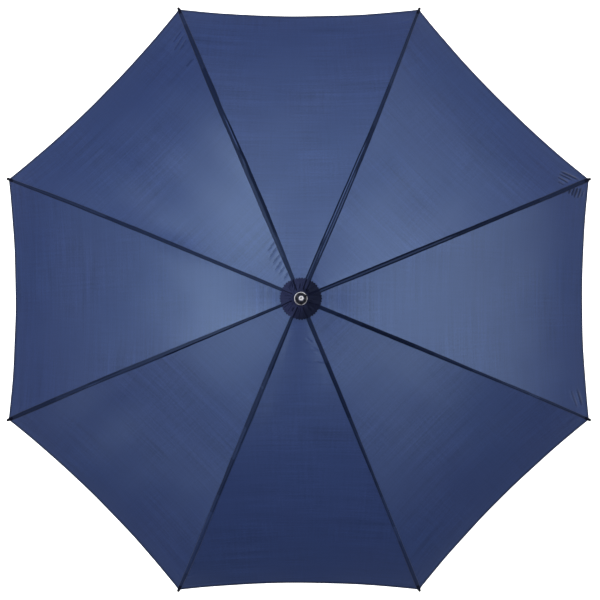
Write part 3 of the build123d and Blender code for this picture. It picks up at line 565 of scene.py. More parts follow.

# creases in the cloth, in plan: rib, side of it, from (x, y), to (x, y), depth, width, and how dark its painted shade
# is
CREASES = [
    (1, -1, (475.5, 2.6), (469.2, 7.9), 1.02, 1.89, 1.00), (1, -1, (481.0, 5.0), (473.4, 12.2), 1.19, 2.00, 1.00),
    (1, -1, (486.2, 7.0), (476.6, 16.1), 1.19, 2.00, 1.00), (1, -1, (491.1, 9.5), (482.0, 19.6), 1.02, 1.89, 0.95),
    (1, -1, (494.5, 14.0), (489.0, 20.5), 0.68, 1.62, 0.50), (1, 1, (474.1, 26.5), (491.3, 8.6), 1.02, 1.89, 0.74),
    (1, 1, (469.2, 24.5), (481.5, 11.3), 1.02, 1.89, 0.67), (1, 1, (463.8, 21.3), (473.7, 9.1), 0.85, 1.84, 0.58),
    (1, 1, (460.0, 15.5), (466.0, 7.5), 0.51, 1.73, 0.39), (8, 1, (474.0, 36.0), (489.0, 18.5), 0.60, 2.40, 0.42),
    (8, 1, (465.0, 30.0), (482.0, 12.5), 0.50, 2.20, 0.30), (8, -1, (490.0, 5.0), (482.0, 18.0), 0.18, 2.47, 0.00),
    (3, 1, (466.5, 9.0), (448.0, 34.5), 0.36, 2.47, 0.20), (3, 1, (458.5, 7.0), (445.0, 25.0), 0.30, 2.27, 0.20),
    (3, 1, (475.0, 9.5), (462.0, 30.0), 0.21, 2.27, 0.20), (3, 1, (423.0, 8.5), (415.0, 26.0), 0.21, 2.47, 0.20),
    (3, 1, (47.0, 1.5), (37.5, 13.0), 0.34, 1.88, 0.21), (3, 1, (56.5, 4.5), (48.0, 17.0), 0.31, 1.75, 0.21),
    (3, 1, (65.5, 6.0), (55.5, 20.5), 0.48, 1.88, 0.21), (3, 1, (76.5, 4.5), (68.0, 18.0), 0.29, 1.88, 0.21),
    (3, 1, (89.0, 3.5), (78.0, 20.0), 0.44, 2.00, 0.21), (3, 1, (98.0, 3.0), (88.0, 19.0), 0.22, 2.25, 0.21),
    (7, -1, (61.5, 15.5), (70.0, 9.5), 0.35, 1.80, 0.00), (7, -1, (78.5, 13.0), (85.0, 6.8), 0.40, 1.80, 0.00),
    (7, -1, (88.0, 33.0), (98.0, 25.0), 0.35, 2.20, 0.00), (7, -1, (99.0, 14.0), (106.0, 5.0), 0.35, 2.00, 0.00),
    (7, -1, (118.0, 13.0), (127.0, 4.0), 0.32, 2.00, 0.00), (7, -1, (140.0, 15.0), (149.0, 4.0), 0.28, 2.20, 0.00),
    (2, 1, (492.0, 3.0), (480.0, 18.0), 0.15, 1.72, 0.00), (2, -1, (487.0, 3.0), (478.0, 15.0), 0.12, 1.72, 0.00),
    (4, 1, (490.0, 3.0), (477.0, 16.0), 0.14, 1.72, 0.00), (4, -1, (484.0, 3.0), (476.0, 15.0), 0.12, 1.81, 0.00),
    (5, 1, (489.0, 3.0), (476.0, 17.0), 0.13, 1.72, 0.00), (5, -1, (492.0, 3.0), (481.0, 18.0), 0.14, 1.72, 0.00),
    (6, 1, (486.0, 3.0), (475.0, 15.0), 0.13, 1.72, 0.00), (6, -1, (492.0, 3.0), (482.0, 19.0), 0.15, 1.72, 0.00),
    (7, 1, (490.0, 3.0), (479.0, 17.0), 0.13, 1.72, 0.00),
]
# small gathers where the seam's thread draws the cloth in, at random along every seam
GATHERS = {}
for k in RIBS:
    for side in (1, -1):
        found = []
        s = 30.0
        while s < 500:
            s += rng.uniform(6.5, 17.0)
            reach = rng.uniform(4.0, 11.0)
            found.append((s, s - rng.uniform(1.0, 5.0), reach, rng.uniform(0.05, 0.17), rng.uniform(1.5, 2.3)))
        GATHERS[k, side] = found
SWELLS = [(rng.uniform(0, 2 * math.pi), rng.uniform(75, 210), rng.uniform(0.05, 0.15), rng.uniform(0, 2 * math.pi)) for _ in range(9)]


def crease_height(x, y, k, side):
    """Height in mm of the cloth over its smooth surface. x, y in the rib's frame, y positive away from the rib."""
    d = np.zeros(x.shape)

    def fold(x0, y0, x1, y1, depth, width):
        lx, ly = x1 - x0, y1 - y0
        length = math.hypot(lx, ly)
        lx, ly = lx / length, ly / length
        u = (x - 0.5 * (x0 + x1)) * lx + (y - 0.5 * (y0 + y1)) * ly
        v = -(x - 0.5 * (x0 + x1)) * ly + (y - 0.5 * (y0 + y1)) * lx
        v = v + 0.018 * (u / length) * u                # a fold bends a little along its length
        near = (np.abs(u) < 1.4 * length) & (np.abs(v) < 4 * width)
        if not near.any():
            return
        u, v = u[near], v[near]
        d[near] += depth * np.exp(-((u / (0.56 * length)) ** 4)) * (np.exp(-((v / width) ** 2)) - 0.55 * np.exp(-(((v - 1.9 * width) / (1.2 * width)) ** 2)))

    for kk, ss, a, b, depth, width, _ in CREASES:
        if kk == k and ss == side:
            fold(*a, *b, depth, width)
    for xa, xb, reach, depth, width in GATHERS[k, side]:
        fold(xa, 0.6, xb, reach, depth, width)
    return d


def crease_shade(x, y, k, side):
    """How dark a fold's painted shade is, 0 to 1: the light the fold would keep out of itself."""
    d = np.zeros(x.shape)
    for kk, ss, (x0, y0), (x1, y1), _, width, shade in CREASES:
        if kk == k and ss == side and shade > 0:
            length = math.hypot(x1 - x0, y1 - y0)
            lx, ly = (x1 - x0) / length, (y1 - y0) / length
            u = (x - 0.5 * (x0 + x1)) * lx + (y - 0.5 * (y0 + y1)) * ly
            v = -(x - 0.5 * (x0 + x1)) * ly + (y - 0.5 * (y0 + y1)) * lx + 0.018 * (u / length) * u
            d = np.maximum(d, shade * np.exp(-((u / (0.60 * length)) ** 4)) * np.exp(-((v / (0.95 * width)) ** 2)))
    return d


def swell_height(X, Y):
    """Slow unevenness of the whole canopy, the same on both sides of every seam. X, Y in mm in the row frame."""
    d = np.zeros(X.shape)
    for direction, wavelength, depth, phase in SWELLS:
        d += depth * np.sin(2 * math.pi * (X * math.cos(direction) + Y * math.sin(direction)) / wavelength + phase)
    r = np.hypot(X, Y)
    return d * np.clip((r - 15) / 60, 0, 1)


def spaced_rows():
    """Stations along the rib as shares of the way to the hem: closer where the cloth has folds."""
    s, out = float(arc_s(CLOTH_IN_R)), []
    while s < HEM_S - 1.0:
        out.append(s)
        s += 2.4 if s < 22 else 1.6 if s < 108 else 4.8 if s < 430 else 2.4 if s < 500 else 1.25
    out.append(HEM_S)
    return (np.array(out) - out[0]) / (out[-1] - out[0])


def spaced_columns():
    y, out = 0.0, []
    full = 511.0 * SIN_H * COS_H
    while y < full - 4.0:
        out.append(y)
        y += 1.25 if y < 31 else 2.4 if y < 44 else 6.5
    out.append(full)
    return np.array(out) / full


ROWS, COLS = spaced_rows(), spaced_columns()
EASE = 0.012


def panel_points(k, side, off, share=None, t=None, folds=True):
    """Points of a half panel in the rib's frame, mm: share along the panel (rows), t across it (columns)."""
    share = ROWS if share is None else share
    t = COLS if t is None else t
    V, Tt = np.meshgrid(share, t, indexing="ij")
    s_in = float(arc_s(CLOTH_IN_R))
    s_hem = arc_s(hem_rho(Tt))
    # rows stay level with each other over the crown and bend into the hem's curve near it
    s = s_in + (HEM_S - s_in) * V
    s = s - (HEM_S - s_hem) * np.clip((V - 0.35) / 0.65, 0, 1) ** 2
    return surface(k, side, s, Tt, off, folds)


def surface(k, side, s, t, off, folds=True):
    rho, z = on_arc(s, off)
    x = rho * (1 - t * SIN_H**2)
    y = rho * t * SIN_H * COS_H
    # taut cloth curves along the ribs, so across them it is drawn in a little between each pair
    sag = (0.5 + 3.1 * np.sin(math.pi * np.clip(rho / 520.0, 0, 1)) ** 1.2) * (1 - (1 - t) ** 2) * np.clip(rho / 60.0, 0, 1)
    slope = SLOPE0 + s / ARC_R
    lift = -sag
    a = azimuth(k)
    ys = y * side
    X, Y = x * math.cos(a) - ys * math.sin(a), x * math.sin(a) + ys * math.cos(a)
    lift = lift + swell_height(X, Y) * np.clip(t * 3.0, 0, 1)
    if folds:
        lift = lift + crease_height(x, y, k, side) * np.clip((1 - t) * 12, 0, 1)
    # the panel's own normal: it leans outwards along the middle of the panel
    nx, nz = np.sin(slope), np.cos(slope)
    return np.stack([x + lift * nx * COS_H * COS_H, y + lift * nx * COS_H * SIN_H, z + lift * nz], -1)


def gather(ob):
    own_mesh(ob)


half_panels = {}
for k in RIBS:
    for side in (1, -1):
        top = to_world(panel_points(k, side, CLOTH_TOP), k, side)
        under = to_world(panel_points(k, side, CLOTH_UNDER), k, side)
        up = grid_normals(top)
        if up[20, 20, 2] < 0:
            up = -up
        # at the middle of the panel both halves have one normal, square to the line between them
        a = azimuth(k) + side * HALF
        across = np.array([-math.sin(a), math.cos(a), 0.0])
        up[:, -1] = unit(up[:, -1] - (up[:, -1] @ across)[:, None] * across)
        up[:, -2] = unit(up[:, -2] - 0.5 * (up[:, -2] @ across)[:, None] * across)
        V, Tt = np.meshgrid(ROWS, COLS, indexing="ij")
        # the weave runs on from one half of a panel to the other
        panel = k if side > 0 else (k - 2) % 8 + 1
        u = side * (1 - Tt) * (V * 500.0) * SIN_H * MM + 0.7 * panel
        v = V * (HEM_S + 5.0) * MM + 0.9 * panel
        verts, faces, normals, uvs = cloth_solid(top, under, up, np.stack([u, v], -1))
        local = panel_points(k, side, CLOTH_TOP)
        centre = 0.25 * (local[:-1, :-1] + local[1:, :-1] + local[:-1, 1:] + local[1:, 1:])
        # painted shade: faces in a fold take a darker copy of the cloth, by how deep the fold's shade is
        shade = crease_shade(centre[..., 0], centre[..., 1], k, side).ravel()
        level = np.digitize(shade, [0.14, 0.32, 0.52])
        slots = np.zeros(sum(len(f) for f in faces), np.int32)
        slots[:len(level)] = level
        ob = add_mesh(f"canopy_{k}_{'left' if side > 0 else 'right'}", verts, faces, [M_CANOPY] + M_SHADED, slots, normals, uvs)
        half_panels[k, side] = ob

# hems: a narrow double fold with a line of stitches
HEM_PROFILE = [(6.0, 2.85), (5.5, 3.02), (4.6, 3.00), (4.0, 2.96), (3.4, 3.02), (1.9, 3.08), (0.7, 3.04), (-0.2, 2.86), (-0.42, 2.55), (-0.30, 2.25), (0.3, 2.06), (1.6, 2.02), (3.4, 2.05), (4.6, 2.08), (5.5, 2.06), (6.0, 2.3)]
hems = {}
for k in RIBS:
    for side in (1, -1):
        b = Build()
        t = np.concatenate([np.linspace(0, 0.2, 18)[:-1], np.linspace(0.2, 1, 40)])
        s_hem = arc_s(hem_rho(t))
        wob = 0.22 * np.sin(t * 61 + k * 1.7 + side) + 0.16 * np.sin(t * 143 + 2.1 * k)
        rings = []
        for d, off in HEM_PROFILE:
            inner = 1.0 if d > 3 else 0.0
            s = s_hem - d - wob * inner
            p = surface(k, side, s, t, off, folds=False)
            rings.append(p)
        rings = to_world(np.stack(rings, 1), k, side)
        arc = np.stack([np.broadcast_to(t[:, None] * 0.2 + 0.3 * k, rings.shape[:2]), np.broadcast_to(np.array([d for d, _ in HEM_PROFILE])[None] * MM, rings.shape[:2])], -1)
        swept(b, rings, 0, caps=True, uv=arc)
        n_prof = len(HEM_PROFILE)
        # painted shade: the rolled outer edge of the hem's profile takes the dark edge material
        b.m[0] = np.tile(np.where((np.arange(n_prof) >= 5) & (np.arange(n_prof) <= 9), 2, 0), rings.shape[0] - 1)
        # stitches along the inner edge of the fold, above and below
        tt = np.arange(0.012, 0.995, 3.1 / 195.0)
        tt = tt + rng.uniform(-0.0012, 0.0012, len(tt))
        sh = arc_s(hem_rho(tt))
        for off, out_sign in ((2.98, 1.0), (2.06, -1.0)):
            at = surface(k, side, sh - 4.3, tt, off, folds=False)
            nxt = surface(k, side, arc_s(hem_rho(tt + 0.004)) - 4.3, tt + 0.004, off, folds=False)
            atw, nxw = to_world(at, k, side), to_world(nxt, k, side)
            along = unit(nxw - atw)
            slope = SLOPE0 + (sh - 4.3) / ARC_R
            out = turn(np.stack([np.sin(slope), np.zeros_like(slope), np.cos(slope)], -1), k, side) * out_sign
            out = unit(out - (out * along).sum(-1, keepdims=True) * along)
            stitches(b, atw, along, out, rng.uniform(1.9, 2.3, len(tt)) * MM, 0.55 * MM, 0.22 * MM, 1)
        hems[k, side] = b.make(f"hem_{k}_{'left' if side > 0 else 'right'}", [M_HEM, M_THREAD, M_HEM_EDGE_SHADE])

# ---------------------------------------------------------------- seams over the ribs
SEAM_F = [-0.5, -0.46, -0.38, -0.28, -0.19, -0.10, 0.0, 0.10, 0.19, 0.28, 0.38, 0.46, 0.5]
SEAM_H = [0.02, 0.28, 0.54, 0.62, 0.42, 0.48, 0.52, 0.48, 0.42, 0.62, 0.54, 0.28, 0.02]
# Each seam wanders a little off its rib and narrows outwards: run is (distance from the shaft, drift to the left, width) in mm.
# shade is the painted shade of its folded cloth, against the panels; folds are narrower lines in it, some painted
# darker as shade in a crease and some painted lighter as a highlight on a turned edge: (from, to) across the seam,
# (from, to) outwards, shade.
SEAMS = {
    1: dict(run=((45, -0.3, 6.9), (120, -0.6, 7.8), (200, -0.9, 7.9), (280, -1.0, 7.1), (360, -0.9, 6.7), (440, -1.0, 7.6), (500, 0.0, 7.5)),
            shade=((45, 0.17), (300, 0.14), (360, 0.16), (400, 0.17), (440, 0.28), (500, 0.30)),
            folds=((0.10, 0.5, 0, 330, 0.09), (-0.19, 0.10, 0, 270, 0.32))),
    2: dict(run=((45, 0.6, 9.6), (80, 0.2, 9.9), (120, -0.7, 10.2), (160, -1.6, 10.0), (200, -2.2, 9.7), (280, -3.2, 8.0), (320, -3.2, 7.0), (360, -2.8, 6.6), (440, -1.4, 5.7), (500, 0.0, 5.2)),
            shade=((45, 0.24), (290, 0.21), (320, 0.26), (360, 0.29), (400, 0.33), (440, 0.32), (500, 0.33)),
            folds=((0.28, 0.5, 0, 300, 0.16), (0.10, 0.28, 95, 272, 0.80), (0.10, 0.28, 0, 95, 0.42), (-0.10, 0.10, 0, 300, 0.19), (-0.28, -0.10, 60, 225, 0.56), (-0.5, -0.28, 0, 300, 0.19))),
    3: dict(run=((45, -0.3, 6.7), (80, -0.5, 8.2), (120, -0.7, 9.4), (160, -0.8, 10.4), (240, -0.2, 10.2), (290, 0.6, 9.2), (325, 1.5, 8.7), (360, 1.0, 9.5), (400, 1.2, 8.9), (440, 0.7, 8.2), (500, 0.0, 7.0)),
            shade=((45, 0.23), (150, 0.31), (325, 0.25), (360, 0.27), (400, 0.30), (440, 0.37), (500, 0.42)),
            folds=((0.0, 0.5, 60, 235, 0.33), (-0.5, 0.0, 100, 312, 0.16), (-0.10, 0.10, 215, 250, 0.45), (-0.19, 0.0, 250, 318, 0.80))),
    4: dict(run=((45, -1.5, 5.4), (80, -1.8, 6.0), (120, -1.9, 5.9), (200, -2.1, 6.2), (280, -2.6, 6.8), (320, -2.5, 6.5), (360, -2.4, 6.8), (400, -2.1, 6.6), (440, -1.6, 6.6), (500, 0.0, 5.0)),
            shade=((45, 0.23), (120, 0.28), (200, 0.29), (280, 0.26), (320, 0.27), (360, 0.34), (400, 0.34), (440, 0.32), (500, 0.37)),
            folds=((0.19, 0.5, 330, 500, 0.28), (-0.5, -0.28, 230, 330, 0.26))),
    5: dict(run=((45, -1.5, 4.6), (80, -1.6, 5.1), (120, -1.5, 5.9), (160, -1.2, 6.5), (240, -1.1, 7.7), (320, -1.9, 7.3), (360, -1.7, 6.9), (440, -1.0, 8.0), (500, -0.3, 6.9)),
            shade=((45, 0.21), (90, 0.23), (130, 0.33), (170, 0.40), (280, 0.39), (330, 0.33), (400, 0.33), (440, 0.28), (500, 0.29)),
            folds=((0.19, 0.5, 0, 240, 0.15), (-0.5, -0.10, 300, 370, 0.27), (0.10, 0.28, 340, 375, 0.62))),
    6: dict(run=((45, -1.5, 5.5), (80, -1.6, 7.2), (120, -1.5, 7.8), (200, -0.9, 8.7), (280, -1.0, 7.5), (320, -0.4, 6.6), (400, 0.3, 7.6), (440, 0.9, 7.8), (500, 0.6, 6.2)),
            shade=((45, 0.24), (120, 0.29), (150, 0.41), (200, 0.35), (240, 0.45), (280, 0.40), (320, 0.33), (360, 0.51), (400, 0.68), (440, 0.60), (500, 0.51)),
            folds=((0.10, 0.5, 0, 135, 0.17), (0.10, 0.5, 135, 250, 0.34))),
    7: dict(run=((45, -0.9, 7.1), (80, -0.5, 6.9), (160, 0.0, 6.8), (240, 0.0, 6.1), (320, 0.1, 4.9), (400, 0.0, 5.9), (500, 0.0, 7.2)),
            shade=((45, 0.28), (120, 0.21), (200, 0.22), (280, 0.27), (320, 0.35), (360, 0.45), (400, 0.55), (440, 0.53), (500, 0.52)),
            folds=((0.10, 0.5, 225, 300, 0.36),)),
    8: dict(run=((45, -0.9, 6.6), (80, -0.7, 6.6), (120, -0.4, 6.8), (200, -0.1, 7.0), (280, 0.1, 5.7), (320, 0.4, 5.1), (360, 0.6, 5.0), (440, 0.8, 5.1), (500, 0.6, 4.8)),
            shade=((45, 0.18), (120, 0.10), (200, 0.12), (240, 0.18), (280, 0.20), (320, 0.25), (360, 0.32), (400, 0.41), (440, 0.40), (500, 0.40)),
            folds=((-0.5, -0.28, 66, 82, 0.62),)),
}


def beside(k, s, y, off):
    """A point beside the rib line, on the panels that fall away from it. s along the rib, y sideways with its sign."""
    s, y, off = np.broadcast_arrays(np.asarray(s, float), np.asarray(y, float), np.asarray(off, float))
    rho, _ = on_arc(s, off)
    side = np.where(y < 0, -1.0, 1.0)
    p = surface(k, side, s, np.abs(y) / (rho * SIN_H * COS_H), off, folds=False)
    p[..., 1] *= side
    return p


seams = {}
lane_mid = 0.5 * (np.array(SEAM_F)[:-1] + np.array(SEAM_F)[1:])
for k in RIBS:
    b = Build()
    s = np.concatenate([np.arange(1.0, 20, 3.0), np.arange(20, 560, 4.0), np.arange(560, 571.3, 1.5)])
    rho = on_arc(s, CLOTH_TOP)[0]
    run = np.array(SEAMS[k]["run"])
    width = np.interp(rho, run[:, 0], run[:, 2])
    phase = 0.9 * k
    width = width * (1 + 0.018 * np.sin(s / 13.0 + phase) + 0.014 * np.sin(s / 5.1 + 2 * phase))
    drift = np.interp(rho, run[:, 0], run[:, 1]) + 0.08 * np.sin(s / 31.0 + phase) + 0.05 * np.sin(s / 11.0 + 3 * phase)
    drift = np.clip(drift, -0.5 * width + 0.4, 0.5 * width - 0.4) * np.clip((571 - s) / 40.0, 0, 1)
    y = drift[:, None] + width[:, None] * np.array(SEAM_F)[None]
    row_mid = 0.5 * (rho[:-1] + rho[1:])
    plain = np.array(SEAMS[k]["shade"])
    shade = np.repeat(np.interp(row_mid, plain[:, 0], plain[:, 1])[:, None], len(lane_mid), 1)
    for f0, f1, r0, r1, tone in SEAMS[k]["folds"]:
        end = np.clip(np.minimum(row_mid - r0, r1 - row_mid) / 14.0, 0, 1)[:, None] * ((lane_mid > f0) & (lane_mid < f1))[None]
        shade = shade * (tone / shade) ** end
    # turned edges painted lighter stand up a little and creases painted darker lie lower
    depth = np.concatenate([np.zeros((len(s), 1)), np.zeros((len(s), len(SEAM_F) - 2)), np.zeros((len(s), 1))], 1)
    grown = np.concatenate([shade[:1], 0.5 * (shade[:-1] + shade[1:]), shade[-1:]])
    depth[:, 1:-1] = 0.34 * np.clip(0.5 * (grown[:, :-1] + grown[:, 1:]) - 0.22, -0.16, 0.4)
    rise = 1 + 0.07 * np.sin(s / 6.3 + phase)[:, None] * np.cos(np.array(SEAM_F) * 9)[None]
    upper = beside(k, s[:, None], y, CLOTH_TOP + 0.02 + np.array(SEAM_H)[None] * rise + depth)
    lower = beside(k, s[:, None], y[:, ::-1][:, 1:-1], CLOTH_TOP - 0.12)
    rings = to_world(np.concatenate([upper, lower], 1), k)
    n_cols = rings.shape[1]
    uv = np.stack([np.broadcast_to(np.concatenate([y, y[:, ::-1][:, 1:-1]], 1) * MM + 0.05 * k, rings.shape[:2]), np.broadcast_to(s[:, None] * MM + 0.3 * k, rings.shape[:2])], -1)
    swept(b, rings, 0, caps=True, uv=uv)
    # painted shade: each face of the seam takes the shade level nearest its own
    nearest = np.abs(np.log(shade)[..., None] - np.log(SEAM_SHADES)).argmin(-1)
    slots = np.repeat(nearest[:, :1], n_cols, 1)
    slots[:, :len(lane_mid)] = nearest
    slots[:, len(lane_mid):] = nearest[:, -1:]
    b.m[0] = slots.reshape(-1)
    b.m[1][:] = nearest[0, 5]
    b.m[2][:] = nearest[-1, 5]
    # two lines of top stitching
    for f in (-0.19, 0.19):
        st = np.arange(8.0, 567.0, 3.15)
        st = st + rng.uniform(-0.2, 0.2, len(st))
        ww = np.interp(st, s, width)
        yy = np.interp(st, s, drift) + f * ww + rng.uniform(-0.08, 0.08, len(st))
        off = CLOTH_TOP + 0.46
        at = to_world(beside(k, st, yy, off), k)
        nxt = to_world(beside(k, st + 1.0, yy, off), k)
        along = unit(nxt - at)
        slope = SLOPE0 + st / ARC_R
        out = turn(np.stack([np.sin(slope), 0 * slope, np.cos(slope)], -1), k)
        out = unit(out - (out * along).sum(-1, keepdims=True) * along)
        stitches(b, at, along, out, rng.uniform(2.0, 2.5, len(st)) * MM, rng.uniform(0.45, 0.6, len(st)) * MM, 0.24 * MM, len(SEAM_SHADES))
    # thread whipped over the corner where the hem is held to the rib's end
    for side in (1, -1):
        st = np.arange(560.5, 572.0, 1.05)
        half = np.interp(st, [560, 567, 572], [2.1, 2.5, 2.3])
        off = CLOTH_TOP + 0.62 + 0.10 * np.sin(st * 2.3)
        at = to_world(beside(k, st, side * 0.52 * half, off), k)
        a0, a1 = to_world(beside(k, st, side * 0.05, off), k), to_world(beside(k, st + 0.25, side * half, off), k)
        along = unit(a1 - a0)
        slope = SLOPE0 + st / ARC_R
        out = turn(np.stack([np.sin(slope), 0 * slope, np.cos(slope)], -1), k)
        out = unit(out - (out * along).sum(-1, keepdims=True) * along)
        stitches(b, at, along, out, 1.16 * half * MM, 1.0 * MM, 0.55 * MM, len(SEAM_SHADES) + 1)
    seams[k] = b.make(f"seam_{k}", M_SEAM_SHADES + [M_THREAD_SEAM, M_THREAD_DARK])
    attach(seams[k], f"rib_arm_{k}")

# seam allowance under the canopy, tied to the rib at a few places
allowances = {}
for k in RIBS:
    b = Build()
    s = np.concatenate([np.arange(4.0, 560, 5.0), [564.0, 568.0]])
    wide = np.interp(s, [0, 20, 120, 290, 430, 568], [6.0, 6.5, 11.5, 14.0, 11.0, 3.6])
    for side in (1, -1):
        cols = np.array([0.0, 0.12, 0.3, 0.5, 0.7, 0.88, 1.0])
        edge = wide * (1 + 0.03 * np.sin(s / 9.0 + k + side) + 0.02 * np.sin(s / 3.7 + 2 * k))
        yy = edge[:, None] * cols[None]
        curl = 0.16 * np.sin(s / 7.3 + 1.3 * k + side)[:, None] * cols[None] ** 2
        topg = to_world(beside(k, s[:, None], side * yy, CLOTH_UNDER - 0.10 - 0.16 * cols[None]), k)
        botg = to_world(beside(k, s[:, None], side * yy, CLOTH_UNDER - 0.28 - 0.16 * cols[None] - np.abs(curl)), k)
        up = grid_normals(topg)
        if up[5, 3, 2] < 0:
            up = -up
        uvg = np.stack([np.broadcast_to(yy * MM + 0.06 * k, topg.shape[:2]), np.broadcast_to(s[:, None] * MM + 0.2 * k, topg.shape[:2])], -1)
        verts, faces, _, uvs = cloth_solid(topg, botg, up, uvg)
        b.put(verts, faces, 0, uvs)
        # overlocked edge
        st = np.arange(8, 560, 2.6)
        ye = np.interp(st, s, edge) - 1.1
        at = to_world(beside(k, st, side * ye, CLOTH_UNDER - 0.46), k)
        nxt = to_world(beside(k, st + 0.9, side * (ye + 1.0), CLOTH_UNDER - 0.46), k)
        slope = SLOPE0 + st / ARC_R
        out = -turn(np.stack([np.sin(slope), 0 * slope, np.cos(slope)], -1), k, side)
        along = unit(nxt - at)
        out = unit(out - (out * along).sum(-1, keepdims=True) * along)
        stitches(b, at, along, out, 2.3 * MM, 0.42 * MM, 0.2 * MM, 1)
    # thread ties round the rib
    for tie in (92.0, 176.0, 332.0, 418.0, 500.0):
        for turn_no in range(3):
            a = np.linspace(0, 2 * math.pi, 25)[:-1]
            rr = []
            for ang in np.linspace(0, 2 * math.pi, 7)[:-1]:
                rad = 0.26
                half_w, half_h = 1.95, 1.75
                # loop round the channel's section
                cy, co = half_w * np.sign(np.cos(a)) * np.abs(np.cos(a)) ** 0.6, half_h * np.sign(np.sin(a)) * np.abs(np.sin(a)) ** 0.6 + 0.2
                ds = (turn_no - 1) * 0.62 + 0.25 * np.sin(a + turn_no)
                ny, no = np.cos(a), np.sin(a)
                py, po = cy + rad * math.cos(ang) * ny, co + rad * math.cos(ang) * no
                rho, z = on_arc(tie + ds + rad * math.sin(ang), po)
                rr.append(np.stack([rho, py, z], -1))
            rings = to_world(np.stack(rr, 1), k)
            rings = np.concatenate([rings, rings[:1]], 0)
            swept(b, rings, 1, caps=False)
    allowances[k] = b.make(f"seam_allowance_{k}", [M_UNDER, M_THREAD])
    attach(allowances[k], f"rib_arm_{k}")

for k in RIBS:
    for side in (1, -1):
        ob, hem = half_panels[k, side], hems[k, side]
        for piece in (ob, hem):
            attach(piece, f"rib_arm_{k}")
            gather(piece)
        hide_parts(f"canopy_gore_{k}")

# ---------------------------------------------------------------- rosette
ROS_R = 32.3
# creases in the patch, from (radius mm, bearing degrees) to (radius, bearing): height, width; they also set where
# painted shade lies
PATCH_FOLDS = [
    (31, 112, 25, 128, -0.60, 0.85), (23, 110, 16.5, 126, -0.70, 0.85), (28, 119, 21, 133, 0.80, 1.1), (24, 99, 15.5, 104, 0.75, 1.3), (31, 122, 24, 141, 0.55, 1.1),
    (18, 26, 13, 24, 0.75, 0.62), (18.5, 35, 13, 33, 0.85, 0.60), (18, 44, 13, 42, 0.90, 0.60), (18.5, 53, 13, 51, 0.85, 0.60), (17.5, 62, 13, 60, 0.70, 0.62), (17, 70, 13, 69, 0.6, 0.6),
    (19, 189, 14.5, 186, 0.80, 0.9), (26, 178, 16, 171, 0.45, 1.2), (30, 215, 19, 209, 0.50, 1.3), (29, 231, 18, 224, 0.60, 1.1), (24, 236, 17, 233, -0.45, 0.8),
    (21, 264, 15, 261, 0.65, 0.8), (21, 274, 15, 272, 0.60, 0.8), (29, 257, 20, 254, 0.50, 1.2), (30, 270, 22, 272, 0.40, 1.3),
    (27, 87, 19, 89, 0.40, 1.2), (27, 143, 18, 147, 0.45, 1.2), (18, 138, 13.5, 141, 0.6, 0.7), (18, 155, 13.5, 157, 0.5, 0.7), (18, 207, 13.5, 205, 0.6, 0.8), (18, 222, 13.5, 221, 0.5, 0.7),
    (26, 5, 18, 2, 0.35, 1.4), (26, 318, 18, 315, 0.35, 1.4), (20, 300, 14, 298, 0.4, 0.9), (20, 350, 14, 352, 0.4, 0.9),
]
# lines of stitches that hold it down along the seams: bearings at its edge and near the ring, and the half width of the
# painted shade along the line
PATCH_LINES = {1: ((25.0, 27.0, 2.0),), 2: ((73.0, 75.0, 1.25), (61.0, 56.0, 1.0)), 3: ((112.0, 116.0, 1.25),), 4: ((155.0, 152.5, 0.6),), 5: ((200.5, 195.5, 1.0),), 6: ((247.0, 250.0, 1.2),), 7: ((290.0, 284.0, 0.9),), 8: ((340.0, 336.0, 0.9),)}


def crown_height(r, az):
    """Height of the crown patch's top in mm over a point at radius r, azimuth az: tented over the seams."""
    rel = (az - HALF + math.pi / 8) % (math.pi / 4) - math.pi / 8          # from the nearest rib
    rho = r * np.cos(rel) + np.abs(r * np.sin(rel)) * TAN_H
    _, z = on_arc(arc_s(rho, 3.6), 3.62)
    ridge = 0.62 * np.exp(-((r * np.sin(rel)) / 3.4) ** 2)
    dip = -0.55 * np.clip(r / 30.0, 0, 1) * np.sin(np.abs(rel) / (math.pi / 8) * math.pi / 2) ** 2
    ripple = 0.16 * np.sin(az * 11 + 0.7 + r * 0.12) * np.clip(r / 20, 0, 1) + 0.11 * np.sin(az * 23 + r * 0.3) * np.clip(r / 24, 0, 1)
    folds = np.zeros(np.broadcast(r, az).shape)

    def off_line(r0, a0, r1, a1):
        t = (np.asarray(r, float) - r0) / (r1 - r0)
        middle = np.radians(a0 + (a1 - a0) * t)
        return ((az - middle + math.pi) % (2 * math.pi) - math.pi) * r, t

    for r0, a0, r1, a1, height, width in PATCH_FOLDS:
        d, t = off_line(r0, a0, r1, a1)
        folds = folds + height * np.exp(-((t - 0.5) / 0.55) ** 4) * (np.exp(-((d / width) ** 2)) - 0.32 * np.sign(height) * np.exp(-(((d - 1.8 * width) / width) ** 2)))
    for lines in PATCH_LINES.values():
        for a0, a1, _ in lines:
            d, t = off_line(31.0, a0, 15.0, a1)
            keep = np.clip((np.asarray(r, float) - 13.5) / 3.0, 0, 1)
            folds = folds + keep * (0.38 * np.exp(-((d / 2.0) ** 2)) - 0.60 * np.exp(-((d / 0.75) ** 2)))
    folds = np.maximum(folds, -0.5)
    # small gathers where the ring clamps the cloth
    gather_at = np.radians([8, 19, 31, 40, 52, 61, 74, 86, 99, 109, 118, 131, 143, 152, 166, 178, 190, 205, 219, 228, 240, 251, 263, 278, 291, 302, 317, 330, 341, 352])
    gathers = np.zeros(np.shape(r))
    for i, g in enumerate(gather_at):
        d = (az - g + math.pi) % (2 * math.pi) - math.pi
        gathers = gathers + (0.30 + 0.16 * math.sin(i * 2.3)) * np.exp(-((d * r / 0.75) ** 2)) * np.clip(1.6 - r / (15.5 + 3.5 * math.sin(i * 1.7)), 0, 0.6) / 0.6
    return z + ridge + dip + ripple + folds + gathers


